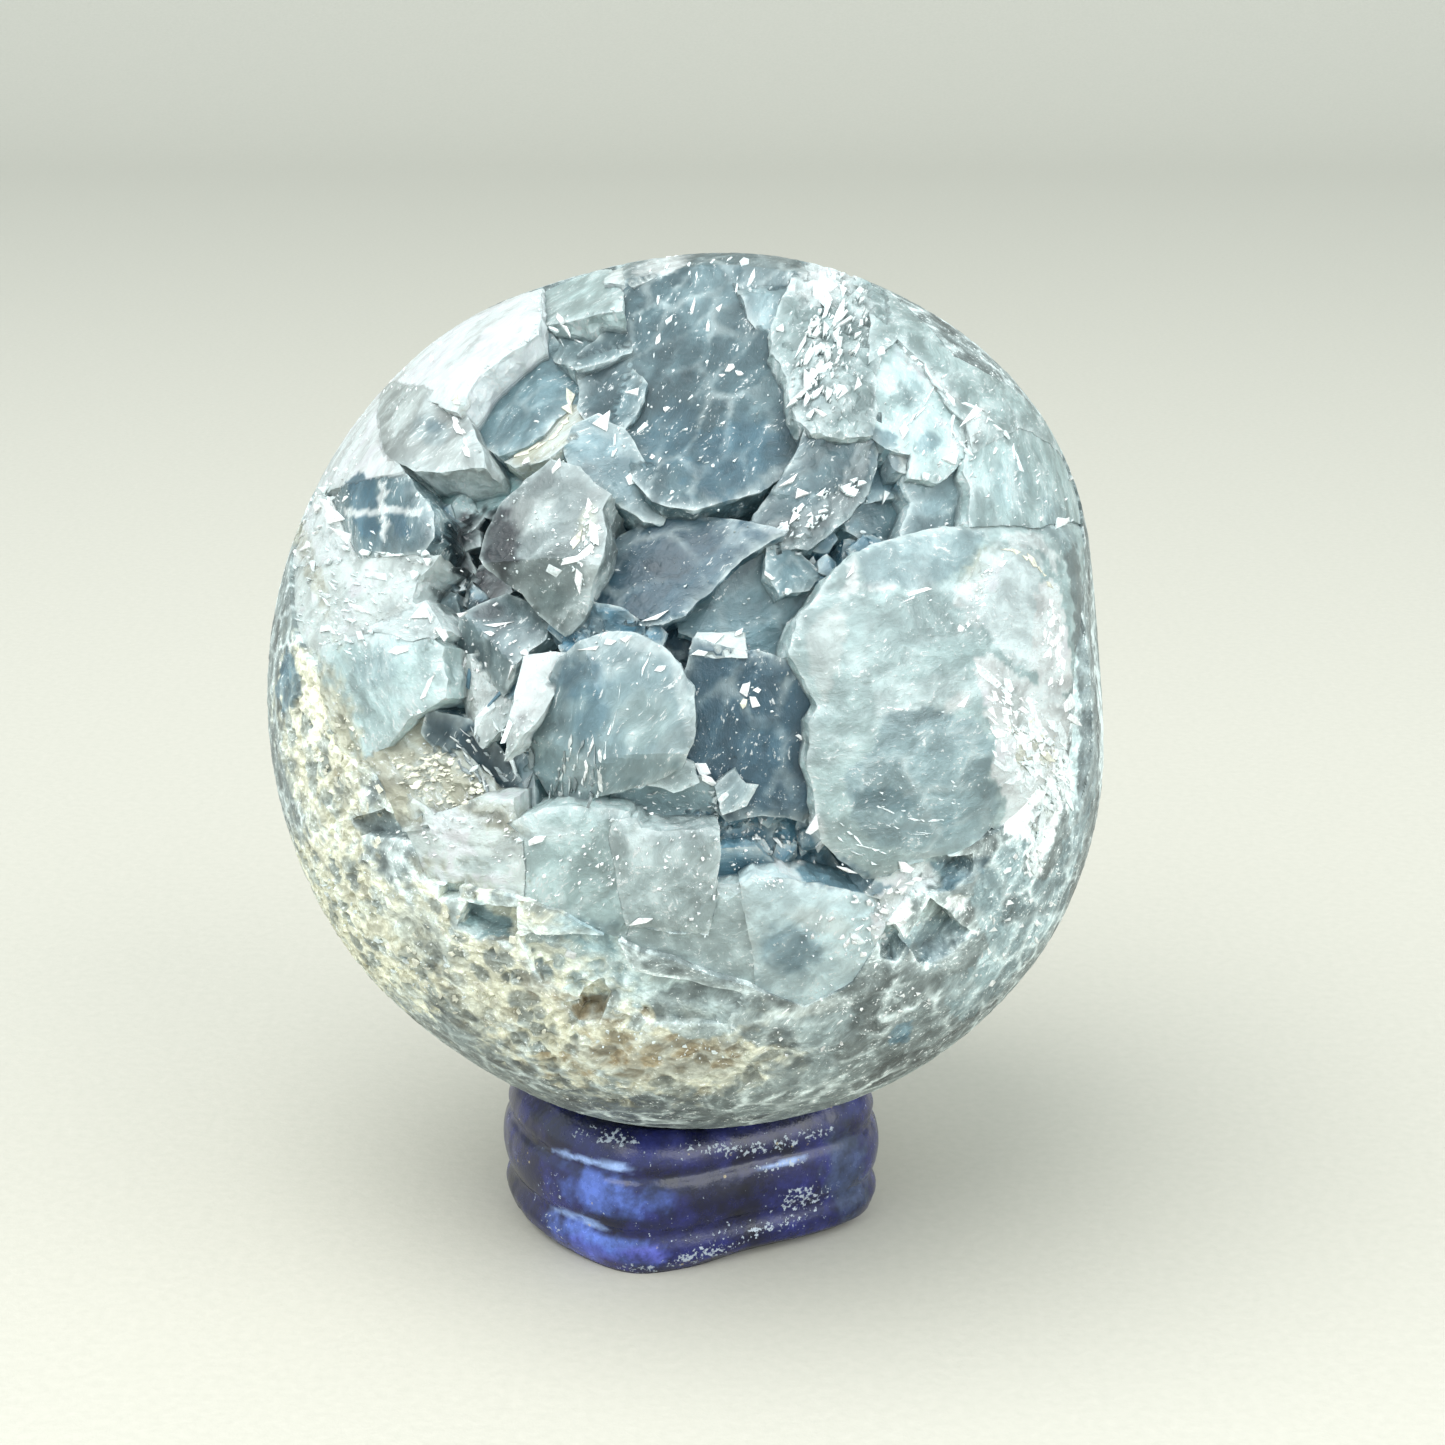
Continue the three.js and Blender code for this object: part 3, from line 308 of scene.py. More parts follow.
        (15, 17.8), (17.4, 19), (20.4, 18.2), (21.6, 16.6), (19.8, 14.2), (17.8, 14.4), (15.6, 15.4),
    ], [(18, 16.6, 4.4, 4, -6)], 0),
    "valley_back": ([
        (17, 25), (19.2, 23.8), (20.2, 22), (21, 20.8), (20.8, 18.8), (17.4, 18.6), (16.8, 21),
    ], [(19, 21.4, 3.4, -16, -8)], 0),
    "valley_chip": ([
        (19.4, 23.4), (21.4, 23.3), (22.2, 22), (21.4, 20.9), (20, 21),
    ], [(20.8, 22.2, 1.6, 6, 4)], 0),
    "upper_right_inner": ([
        (17.2, 31), (17, 28.6), (17.4, 25.2), (19.4, 23.6), (21.8, 22.8), (21.6, 20.8), (24.6, 20.4),
        (27.4, 22.8), (26.4, 25.6), (24.6, 27.6), (22.6, 31), (19.6, 33.4),
    ], [], 0.6),
    "upper_right_outer": ([
        (16.8, 41), (17.2, 33), (17.2, 30.8), (19.8, 32.8), (22.4, 30.6), (24.4, 27.4), (26.4, 25.4),
        (27.2, 22.6), (31, 24.8), (42, 23), (34, 36),
    ], [], 0),
}

# Small crystals scattered over the floors: where each patch is, its spread, how many and how deep their tips
SCATTER = [
    ((-6, 5.6), (4, 1.4), 3, 4.4),
    ((2, 14), (7, 2), 3, 4),
    ((7, -15), (5, 3.6), 5, 4.6),
    ((-24, 17), (2, 3), 3, 5.2),
    ((-23, 9), (4, 2.4), 5, 5),
    ((-18, -4), (3, 5), 5, 4.8),
    ((16, 13.6), (3.4, 2), 3, 4.6),
    ((13.4, 8.4), (2, 3), 3, 5),
    ((-12, 19), (3, 2.4), 2, 3.6),
]

# Pits that the grinding left open outside the hollow, and the groove down the right side
PITS = [
    ([(20.8, -24.6), (22, -22.6), (23.4, -20.4), (27.2, -23.6), (25, -25.8), (22.6, -27)],
     (24, -23.6, 2.6, 8, 0)),
    ([(18, -22.4), (20, -22.8), (21.2, -24.6), (20, -26.5), (18.4, -26)],
     (19.6, -24.4, 2, 0, 8)),
    ([(22.6, -16.9), (27.7, -16.2), (27.6, -18), (25.4, -19.8), (22.2, -20), (21.2, -18.6)],
     (24.8, -18, 2.6, 0, 10)),
    ([(-22.3, -22.8), (-21.6, -20.6), (-16.6, -21), (-16.4, -23.4), (-17.6, -24.6), (-20.4, -24.1)],
     (-19, -22.4, 2.4, 0, 12)),
    ([(-24.1, -19.1), (-22.2, -19.2), (-22.1, -20.4), (-24.1, -20.5)],
     (-23.2, -19.8, 1.6, 0, 0)),
    ([(-16.4, -23.8), (-7.2, -23.6), (-5.4, -27.2), (0, -28), (5.4, -29.4), (4.6, -32), (-3, -32),
      (-14, -28.4)],
     (-6, -27.6, 1.5, 0, 4)),
    ([(-12.2, -30.2), (-10, -29.6), (-8.6, -29), (-7.8, -30.2), (-8.4, -32), (-10.6, -31.9)],
     (-9.8, -30.6, 2.6, 0, 0)),
    ([(-32.8, -12.8), (-29.6, -11.6), (-28.2, -12.4), (-27.2, -15), (-29.2, -14.6), (-31.8, -14.4)],
     (-29.8, -13.4, 1.4, 6, 0)),
    ([(35.4, 11.6), (37.4, 14), (39.4, 10), (40.4, 2), (40.6, -6), (39.6, -13.4), (36.8, -14.6),
      (37, -8), (37.8, -2), (37, 1), (36.6, 5), (35.8, 8.4)],
     (38.2, -1, 0.9, -10, 0)),
]

# More of the small crystals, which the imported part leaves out
MORE_SCATTER = [
    ((-8, 5), (5, 2), 10, 4.8),
    ((7, -15.4), (5.4, 4), 22, 5),
    ((15, 11), (3, 5), 8, 5.2),
]

# Colours, as the share of red, green and blue light that they send back
PALETTE = {
    "white": (0.93, 0.95, 0.92),
    "frost": (0.80, 0.88, 0.86),
    "pale": (0.675, 0.72, 0.69),
    "aqua": (0.495, 0.60, 0.585),
    "sky": (0.355, 0.46, 0.475),
    "teal": (0.235, 0.34, 0.365),
    "slate": (0.13, 0.245, 0.305),
    "deep": (0.09, 0.17, 0.215),
    # The next colour is painted shade, for the deep holes
    "hole_shade": (0.035, 0.052, 0.06),
    "grey": (0.465, 0.54, 0.53),
    "smoke": (0.28, 0.33, 0.33),
    "green": (0.19, 0.27, 0.27),
    "moss": (0.11, 0.15, 0.15),
    "cream": (0.78, 0.77, 0.63),
    "sand": (0.52, 0.50, 0.40),
    "tan": (0.44, 0.38, 0.26),
    "brown": (0.24, 0.19, 0.12),
}

# How each crystal looks: its colour and how light that is, how much of it is veiled in white, its roughness,
# the direction of its streaks in degrees and how long they are, how high its surface stands up in small
# grains, and how far its edge is rounded off
LOOKS = {
    "great_face": ("teal", 0.7, 0.1, 0.34, 62, 2.5, 0.03, 0.2),
    "great_face_step": ("teal", 1.2, 0.3, 0.36, 60, 2, 0.04),
    "lower_left_block": ("teal", 1.2, 0.3, 0.36, 20, 2, 0.04),
    "top_left_rim": ("pale", 1.2, 0.4, 0.4, 30, 1.5, 0.03),
    "upper_left_step": ("aqua", 1.15, 0.4, 0.36, 75, 2.5, 0.03),
    "upper_left_steps_foot": ("sky", 1.0, 0.42, 0.38, 70, 2.5, 0.05),
    "top_crystal": ("sky", 1.15, 0.3, 0.34, 80, 2, 0.03),
    "white_ridge": ("aqua", 0.82, 0.4, 0.5, 70, 1.3, 0.4),
    "ridge_foot": ("teal", 0.76, 0.2, 0.42, 50, 1.6, 0.16, 0.5),
    "dark_face_left": ("teal", 1.15, 0.14, 0.36, 40, 1.6, 0.03),
    "curved_blade": ("cream", 1.0, 0.7, 0.45, 30, 3, 0.05),
    "left_prism": ("pale", 0.88, 0.35, 0.36, 50, 2.4, 0.03),
    "upper_left_rim": ("white", 1.05, 0.7, 0.42, 48, 2.2, 0.05),
    "lens": ("teal", 0.9, 0.25, 0.22, 90, 3, 0.0, 0.4),
    "left_fin": ("white", 1.1, 0.75, 0.42, 20, 2, 0.04),
    "green_floor": ("green", 2.6, 0.12, 0.34, 30, 1.6, 0.06),
    "green_lumps": ("green", 2.2, 0.16, 0.3, 60, 1.5, 0.06),
    "hollow_block_a": ("green", 0.45, 0.1, 0.34, 70, 1.6, 0.05),
    "hollow_block_b": ("green", 0.55, 0.1, 0.34, 80, 1.6, 0.04),
    "hollow_block_c": ("smoke", 0.6, 0.1, 0.36, 60, 1.6, 0.04),
    "grey": ("grey", 0.74, 0.2, 0.4, 35, 1.4, 0.05, 0.2),
    "mid_slab": ("slate", 0.8, 0.0, 0.34, 30, 2, 0.04, 0.4),
    "mid_slab_right": ("teal", 1.25, 0.1, 0.34, 20, 1.8, 0.06),
    "shell_chip": ("teal", 1.15, 0.3, 0.34, 40, 2, 0.03),
    "small_brown": ("slate", 1.5, 0.22, 0.4, 0, 1.5, 0.1),
    "ledge_flake": ("pale", 1.2, 0.6, 0.4, 0, 1.5, 0.03),
    "centre_slab": ("deep", 1.2, 0.08, 0.32, 75, 1.8, 0.03),
    "lower_dark": ("slate", 1.7, 0.2, 0.36, 20, 1.6, 0.08),
    "lower_dark_prism": ("slate", 1.7, 0.2, 0.34, -20, 2.4, 0.03),
    "under_arch": ("sky", 1.35, 0.14, 0.34, 10, 1.8, 0.04),
    "under_arch_tip": ("aqua", 1.0, 0.5, 0.36, 0, 1.5, 0.03),
    "splinter": ("sky", 1.2, 0.5, 0.4, 40, 2, 0.03),
    "arch": ("sky", 1.06, 0.28, 0.32, 58, 3.4, 0.04, 0.35),
    "bright_fin": ("white", 1.1, 0.95, 0.4, 66, 2, 0.0),
    "twin_upper": ("sky", 0.78, 0.25, 0.38, 70, 2, 0.05),
    "twin_lower": ("pale", 0.95, 0.5, 0.38, 80, 2, 0.05),
    "striated_blade": ("slate", 0.54, 0.14, 0.3, 64, 5, 0.02),
    "fan_floor": ("teal", 1.3, 0.4, 0.36, 60, 4, 0.03),
    "left_pale": ("pale", 1.25, 0.55, 0.42, 30, 1.8, 0.08, 0.4),
    "left_tab": ("frost", 1.0, 0.8, 0.4, 20, 2, 0.03),
    "left_round": ("aqua", 1.3, 0.45, 0.38, 120, 1.4, 0.04, 0.3),
    "sandy_slope": ("cream", 0.74, 0.45, 0.6, 150, 1.4, 0.22),
    "left_low": ("pale", 1.45, 0.5, 0.45, 10, 1.6, 0.08, 0.4),
    "mid_low": ("aqua", 1.25, 0.45, 0.42, 40, 1.6, 0.05, 0.4),
    "square": ("grey", 1.2, 0.4, 0.42, 50, 1.3, 0.04, 0.45),
    "saddle": ("grey", 1.4, 0.35, 0.4, 20, 1.4, 0.03, 0.4),
    "wedge": ("smoke", 2.6, 0.25, 0.38, 30, 1.5, 0.03, 0.5),
    "low_right": ("pale", 1.45, 0.7, 0.45, 30, 1.5, 0.08),
    "broad": ("aqua", 1.06, 0.28, 0.34, 10, 1.6, 0.02, 0.5),
    "right_prism": ("aqua", 1.2, 0.4, 0.36, 80, 2, 0.03),
    "blue_face": ("sky", 1.0, 0.22, 0.32, 40, 1.8, 0.02, 0.3),
    "valley_face": ("teal", 1.12, 0.1, 0.32, 30, 1.8, 0.03),
    "valley_back": ("teal", 1.5, 0.3, 0.34, 60, 1.8, 0.05),
    "valley_chip": ("pale", 1.2, 0.6, 0.4, 60, 1.8, 0.03),
    "upper_right_inner": ("aqua", 1.6, 0.6, 0.42, 60, 1.6, 0.08, 0.4),
    "upper_right_outer": ("aqua", 1.02, 0.42, 0.38, 50, 2, 0.04),
}
SMALL_LOOK = ("slate", 1.5, 0.24, 0.32, 60, 2, 0.02)
FLOOR_LOOK = ("slate", 0.8, 0.1, 0.5, 0, 1, 0.2)
PIT_LOOK = ("grey", 1.25, 0.25, 0.4, 40, 1.5, 0.1)
GROUND_LOOK = ("grey", 0.5, 0.3, 0.42, 30, 1.2, 0.05, 0.1)

# Patches of other colours: colour, place, half length and half width, turn in degrees, and strength
MARKS = [
    # The ball outside the hollow: matrix below on the left and in the middle, clearer below on the right
    ("sand", -16, -28, 15, 7, -34, 0.85),
    ("cream", -31.6, -22, 11, 4.6, -52, 1.2),
    ("cream", -35, -6, 11, 3.4, -76, 1),
    ("sand", -3, -34.6, 13, 4.4, 0, 0.95),
    ("tan", -6, -34.4, 12, 3.4, 0, 0.85),
    ("brown", -4, -35.4, 10, 2.4, 0, 0.6),
    ("cream", -36.4, -11, 11, 1.6, -72, 0.6),
    ("cream", -30, -24, 8, 1.4, -48, 0.5),
    ("tan", -20, -25.4, 7, 1.6, -38, 0.55),
    ("tan", -12, -30.6, 9, 3, -24, 0.6),
    ("tan", -25, -19, 3.4, 1.2, -50, 0.5),
    ("tan", -33, -11, 4, 1.2, -66, 0.5),
    ("brown", -14.5, -28.5, 2.6, 1.2, -30, 0.5),
    ("smoke", -26, -23.5, 4, 2, -40, 0.5),
    ("smoke", 4, -32.4, 3.6, 1.6, 10, 0.6),
    ("pale", 24, -24, 3, 1, 50, 0.5),
    ("pale", 10, -31, 5, 0.8, 14, 0.5),
    ("sky", 35.4, 15, 4, 1.2, -62, 0.6),
    ("tan", -36.6, 12, 9, 0.9, -70, 0.5),
    ("tan", -22, 27.4, 1.1, 0.7, 40, 0.8),
    ("sand", -20, -11.6, 5, 1.4, -30, 0.7),
    ("tan", -17.2, -11.6, 1.4, 1, 0, 0.6),
    ("cream", -27.6, -11, 2.6, 1.6, 0, 0.5),
    # The great face: darker low down, with a lighter haze at the top
    ("slate", 4, 22, 6, 4, 20, 0.6),
    ("sky", 2, 37, 4, 4, 0, 0.6),
    ("slate", -2, 24, 4, 3, 60, 0.4),
    ("sky", -5.6, 30, 2.4, 1.2, 40, 0.5),
    ("sky", 7, 28, 3, 1.2, 60, 0.5),
    # The top of the ball and the ridge down from it
    ("white", -3, 40.4, 3, 1, 14, 0.8),
    ("white", 12.6, 39, 3, 2, 0, 0.7),
    ("sky", 11.6, 28, 2, 1.4, 60, 0.5),
    # The grey crystal and its fractured edge
    ("white", -9.6, 14, 5.4, 1.1, 84, 0.4),
    ("cream", -10, 16, 2, 0.8, 70, 0.5),
    ("pale", -15.6, 16.4, 3, 2, 30, 0.6),
    ("smoke", -12.6, 16.6, 1.6, 1, 60, 0.4),
    ("green", -13.6, 8.4, 2.4, 1.4, 0, 0.4),
    # Left rim
    ("white", -35, 15, 4, 1.2, -48, 0.8),
    ("white", -33, 6, 3, 1.4, -40, 0.6),
    ("sky", -30, 2, 2.6, 2, 30, 0.5),
    ("sky", -25, 24.6, 2, 1.4, -30, 0.5),
    ("slate", -24.6, 25, 1, 0.6, 0, 0.4),
    # The broad crystal: clear on the left, a cloudy fan, a smooth facet and a white band on the right
    ("frost", 23, -0.6, 7, 1.8, 10, 0.45),
    ("frost", 24.6, -4.6, 2, 1.6, 0, 0.5),
    ("white", 17.8, 9.8, 1.6, 0.5, 0, 0.9),
    ("frost", 21.6, 9.8, 1.7, 0.5, 10, 0.9),
    ("white", 28.4, 9.6, 4.8, 1.3, 62, 0.6),
    ("cream", 27.4, 11, 3, 1.6, 60, 0.45),
    ("white", 26, 8.4, 1.3, 0.7, 20, 0.85),
    ("tan", 34.6, -6.4, 0.7, 1.6, 30, 0.5),
    ("white", 25.4, -1.4, 1.5, 0.7, 40, 0.8),
    ("frost", 19.6, -2.1, 2, 0.3, 4, 0.8),
    ("frost", 25.6, -14.6, 3.2, 0.8, 20, 0.6),
    ("white", 12, -13.6, 1.6, 0.8, -60, 0.8),
    # The arch: bright rim, dark inside on its left
    ("slate", -10.5, 1, 2.6, 2.4, 0, 0.7),
    ("frost", -5, 4.2, 4.4, 0.7, -14, 0.6),
    ("frost", -0.9, -1, 4, 0.6, -78, 0.6),
    ("aqua", -4.6, -3, 3.4, 3, 0, 0.6),
    ("slate", -9.6, -3, 2.6, 1.6, 60, 0.5),
    ("frost", -11, -8.6, 2.4, 1.6, 80, 0.4),
    # Lower rim of the hollow
    ("slate", 9.6, -25, 3.2, 2.4, 0, 0.6),
    ("pale", 12.6, -22.4, 3.4, 1.2, -16, 0.6),
    ("frost", -4.8, -14.4, 1.6, 1.6, 0, 0.8),
    ("frost", -14, -14, 4, 0.8, 0, 0.7),
    ("white", -23, -13, 4, 0.8, 10, 0.6),
    ("sky", -20, -17, 3, 1, 0, 0.4),
    # Upper right
    ("white", 22.6, 30, 4, 0.8, -40, 0.6),
    ("white", 27, 25, 3, 1.2, 60, 0.55),
    ("sky", 21, 28, 1.6, 1.6, 0, 0.5),
    ("slate", 22.6, 23.6, 1.2, 1, 0, 0.5),
    ("sky", 30.6, 19.6, 2.4, 3, 0, 0.4),
    # Deep holes, painted nearly black as their shade
    ("hole_shade", -20, 13.6, 3.6, 4, 0, 2),
    ("hole_shade", -19.6, 7.4, 1.6, 1.2, 0, 0.7),
    ("hole_shade", -17, -5, 1, 3, -20, 0.5),
]

# Areas of other colours: colour, strength and outline
AREAS = [
    # The broad crystal: its smooth facet, painted pale as a soft painted reflection, white bands, the ragged
    # plate on the right, the clear part below
    ("frost", 1, [
        (28.2, 12.4), (30.5, 13.6), (33.6, 12.6), (33.4, 5), (32.6, 1.4), (30.4, 2.2), (28.4, 5.6),
    ]),
    ("frost", 0.8, [(25, 9.6), (26.6, 11), (28, 13.2), (29.8, 14.6), (28.4, 12), (28.6, 5.2), (26.4, 7.2)]),
    ("white", 0.7, [(29.6, 15), (33.4, 14.8), (35.2, 12.4), (35, 10.6), (33.4, 13), (31, 13.4)]),
    ("white", 1, [
        (33, 9.6), (34.4, 10.4), (35.4, 8.4), (36.2, 3.6), (36.4, -0.6), (34.8, -0.8), (33, 0.2),
        (32.4, 2.6),
    ]),
    ("white", 1, [
        (27, 2.6), (28.8, 3), (30.6, 1.2), (33.2, 0), (35.1, -0.4), (36.6, -3.4), (35.6, -6.4), (36.6, -9),
        (35.4, -12), (33.6, -17.6), (32, -17.8), (32.2, -14.4), (29.8, -13.4), (30, -11), (28.6, -8),
        (29, -5), (28, -2),
    ]),
    ("cream", 0.6, [(31, -4.4), (33.4, -4.6), (34.6, -7), (33, -8.4), (31, -7.4)]),
    ("pale", 0.7, [(29.4, 1), (30.6, 0.4), (32.4, -3.8), (31.8, -5), (30.4, -2.6)]),
    ("pale", 0.6, [(33.6, -9), (34.4, -9), (33.6, -15), (32.6, -16)]),
    ("sky", 0.8, [
        (18.2, -2.4), (22.4, -2.2), (27, -3), (28.8, -5), (28.4, -8.4), (29.4, -11), (28.6, -14), (24, -16),
        (18, -15.4), (15, -12), (14.6, -8), (17.4, -6),
    ]),
    ("teal", 0.75, [(15.6, -9.8), (19, -9.4), (21.6, -11), (20.6, -12), (17, -11.6), (15, -11.4)]),
    ("teal", 0.5, [(23.6, -12.4), (25.2, -11.8), (25, -14), (24, -14)]),
    ("white", 0.9, [(14.8, 11), (15.6, 12.6), (16.2, 12.2), (15.6, 9), (14.4, 8.4)]),
    ("pale", 0.7, [(10.8, 4.8), (12, 7), (14, 8.4), (15, 5.4), (13.6, 0), (12.8, -1.6), (11.4, 1)]),
    ("sky", 0.7, [(16, 12.8), (20, 14.6), (28, 15.2), (27, 12), (22, 9.6), (16.4, 9.6)]),
    ("white", 0.9, [(20.4, -17.6), (22.6, -16.6), (23.6, -18.4), (22, -19.8), (20, -18.8)]),
    # The ball's right side and its lower right
    ("smoke", 0.95, [
        (35.6, 13), (36.8, 14), (37.6, 8), (38.4, 2), (38.8, -4), (38.6, -10), (37.4, -14), (36.6, -11),
        (37.2, -4), (36.8, 2), (36.2, 9),
    ]),
    ("frost", 0.7, [(38, 13), (38.8, 6), (39.6, -6), (39, -10), (38.9, -4), (38.4, 4)]),
    ("sky", 0.6, [
        (29.6, -14.6), (32, -14.4), (31.6, -17.8), (34, -18.4), (36.4, -13.6), (38.6, -10), (35.6, -21),
        (30, -28.6), (26, -32), (24, -30), (28.4, -24.6), (26.6, -20.6), (28, -16.8),
    ]),
    ("white", 0.8, [(17.4, -19.6), (20.6, -18.6), (21, -22), (19.6, -23), (18.2, -22.4)]),
    ("white", 0.8, [(24.4, -20.2), (26.6, -20), (26, -21.6), (24.4, -21.4)]),
    ("slate", 0.35, [(18.4, -22.8), (20, -23.2), (21, -24.4), (20, -26.4), (18.6, -26)]),
    ("slate", 0.35, [
        (20.8, -23), (22.6, -22), (24.6, -21.8), (27, -23.6), (24.6, -25.4), (23.4, -27), (22.2, -26.8),
    ]),
    ("slate", 0.5, [
        (22.6, -16.8), (26, -16.6), (28.2, -16), (28, -17.6), (26, -19), (23.6, -19.6), (23.8, -17.8),
    ]),
    ("slate", 0.8, [
        (14, -15.8), (18, -18.8), (20, -18.6), (17.6, -20), (14, -19.4), (10.8, -19.2), (10, -17),
    ]),
    ("slate", 0.7, [(19, -32.4), (21.4, -31.6), (20.6, -34.2), (18.8, -34.2)]),
    ("smoke", 0.8, [(24, -28), (26, -27.2), (27.4, -28.4), (25.6, -30), (23.8, -29.4)]),
    ("smoke", 0.7, [
        (7.6, -36.6), (10.6, -36), (11, -34.8), (13.4, -34.6), (14.4, -36), (12.6, -38), (8.4, -38.6),
    ]),
    ("smoke", 0.85, [(8, -31.6), (16.8, -31), (16, -33.4), (13, -34.4), (6.4, -34.4), (4.4, -33)]),
    ("smoke", 0.85, [
        (-4, -29.4), (0, -27.8), (2, -27.2), (5.4, -29.4), (5, -31.6), (3, -33.4), (0, -34), (-3.6, -32),
    ]),
    # Lower left, in the matrix
    ("teal", 0.85, [
        (-21.4, -20.2), (-20, -20.2), (-19, -21.6), (-17, -22.4), (-17.6, -23.8), (-21, -24), (-22, -22.6),
    ]),
    ("smoke", 0.85, [(-24, -19.4), (-22.2, -19.2), (-22.4, -20.6), (-21.8, -23.4), (-23, -22.8)]),
    ("smoke", 0.7, [(-19.8, -19.8), (-17.4, -19.6), (-17.8, -20.8)]),
    ("sky", 0.75, [
        (-14.6, -22), (-13, -21.6), (-7, -22.4), (-7.2, -25.2), (-4.6, -28.4), (-6, -30), (-10, -29.4),
        (-14, -28), (-16.4, -24.4),
    ]),
    ("teal", 0.6, [(-14, -22.4), (-8, -23), (-7.4, -25.6), (-11, -24.6)]),
    ("brown", 0.8, [(-12, -30.6), (-9.6, -29.2), (-8, -29.2), (-8.2, -31.4), (-10.6, -31.8)]),
    ("smoke", 0.8, [
        (-30.6, -12), (-29, -11.6), (-27.4, -14.8), (-29.6, -14.6), (-31.2, -14.8), (-32.6, -13),
    ]),
    ("smoke", 0.6, [(-26, -26), (-24.4, -25.8), (-24.8, -27.4), (-26.4, -27.4)]),
    ("smoke", 0.6, [(-24.6, -31.4), (-22.8, -31), (-20.8, -33.8), (-22, -34.4)]),
    ("slate", 0.8, [(-38.8, 4.2), (-37.8, 2), (-37.6, -1), (-39.2, -2.4), (-39.8, 0)]),
    ("cream", 0.9, [(-38.2, 5), (-37, 3), (-36, 0), (-36.4, -2), (-37.6, -1.4), (-37.8, 2)]),
    # The clear crystal on the left
    ("slate", 0.9, [(-33, 19.8), (-31.6, 20.6), (-30.2, 19.6), (-30, 15), (-31.4, 14.2), (-32.4, 16)]),
    ("teal", 0.8, [(-29.4, 20), (-28, 19.4), (-27.2, 17.4), (-29.2, 17.2)]),
    ("slate", 0.8, [(-28.8, 16.6), (-27.2, 16.8), (-27, 14.6), (-28.6, 14.6)]),
    ("white", 0.8, [(-33.4, 17.3), (-26, 17.1), (-26, 16.5), (-33.4, 16.6)]),
    ("white", 0.8, [(-29.9, 19.6), (-29.3, 19.6), (-29.1, 14), (-29.7, 14)]),
    # The deepest hole, painted dark as its shade
    ("hole_shade", 1, [(-21.8, 15.8), (-18, 16), (-18.8, 12.4), (-20, 11.4), (-22, 11.8)]),
    ("moss", 0.7, [(-25, 9.6), (-24, 7.4), (-22.2, 6.8), (-20.4, 8), (-21.6, 9.4)]),
    # The top, the ridge down from it and the crevice behind, darkened with painted shade
    ("frost", 0.25, [(4.8, 40.8), (9.6, 41.6), (9.4, 38.6), (7.4, 38.6), (5, 38.8)]),
    ("white", 0.25, [
        (10, 36), (11, 41), (15.6, 39.6), (17.4, 37), (16.6, 33.6), (15.4, 36.6), (12.4, 36.4),
    ]),
    ("white", 0.2, [(10.2, 33), (12.4, 34), (14.4, 31), (15.6, 27), (12.2, 25), (10.6, 27.4)]),
    ("white", 0.3, [
        (6.4, 15.6), (9, 13.8), (12, 14.6), (15.6, 17), (16.6, 20), (17.6, 24), (16, 23.6), (14, 18.8),
        (10, 16.6),
    ]),
    # painted shade in the crevice
    ("slate", 0.6, [(17.2, 25), (19.6, 24.6), (20, 21.6), (19.6, 18.6), (17.2, 18.8), (17, 21)]),
]


def unit(vectors):
    return vectors / np.linalg.norm(vectors, axis=-1, keepdims=True)


def seen_way(places, depth=0.0):
    """Ways out from the centre to places seen on the ball at a depth. Past its edge they go on around it."""
    right, up = np.asarray(places, float).T
    radius = MEAN_RADIUS - depth
    reach = np.hypot(right, up)
    edge = VIEW_DISTANCE * np.tan(np.arcsin(radius / VIEW_DISTANCE))
    sight = np.arctan(np.minimum(reach, edge) / VIEW_DISTANCE)
    off = np.arcsin(np.minimum(1, VIEW_DISTANCE * np.sin(sight) / radius)) - sight
    off += np.maximum(0, reach - edge) / MEAN_RADIUS
    return heading(np.arctan2(up, right), off)


def heading(bearing, off):
    return np.stack([np.sin(off) * np.cos(bearing), np.sin(off) * np.sin(bearing), np.cos(off)], -1)


def flatten(ways):
    """Ways from the centre laid out flat, each at its distance along the surface from the front's middle."""
    off = np.arccos(np.clip(ways[..., 2], -1, 1))
    bearing = np.arctan2(ways[..., 1], ways[..., 0])
    return np.stack([off * np.cos(bearing), off * np.sin(bearing)], -1) * MEAN_RADIUS


def unflatten(flat):
    off = np.hypot(flat[..., 0], flat[..., 1]) / MEAN_RADIUS
    return heading(np.arctan2(flat[..., 1], flat[..., 0]), off)


def ground_radius(ways):
    cos, sin = math.cos(LONG_AXIS_LEAN), math.sin(LONG_AXIS_LEAN)
    across = (ways[..., 0] * cos - ways[..., 1] * sin) / HALF_WIDTH
    along = (ways[..., 0] * sin + ways[..., 1] * cos) / HALF_HEIGHT
    radius = 1 / np.sqrt(across**2 + along**2 + (ways[..., 2] / HALF_DEPTH) ** 2)
    for bearing, off, height, spread in SWELLS:
        middle = heading(math.radians(bearing), math.radians(off))
        apart = np.arccos(np.clip(ways @ middle, -1, 1)) / math.radians(spread)
        radius = radius + height * np.exp(-(apart**2))
    return radius


def face_radius(face, ways):
    """Distance from the centre to a flat face, given as in the tables, along each way."""
    right, up, depth, lean_right, lean_up = face
    outward = seen_way([(right, up)], depth)[0]
    rightward = unit(np.array([1, 0, 0]) - outward[0] * outward)
    upward = np.cross(outward, rightward)
    place = outward * (ground_radius(outward) - depth)
    normal = outward + rightward * math.tan(math.radians(lean_right))
    normal = normal + upward * math.tan(math.radians(lean_up))
    along = ways @ normal
    return np.where(along > LEAST_SLOPE, (place @ normal) / np.maximum(along, LEAST_SLOPE), FAR)


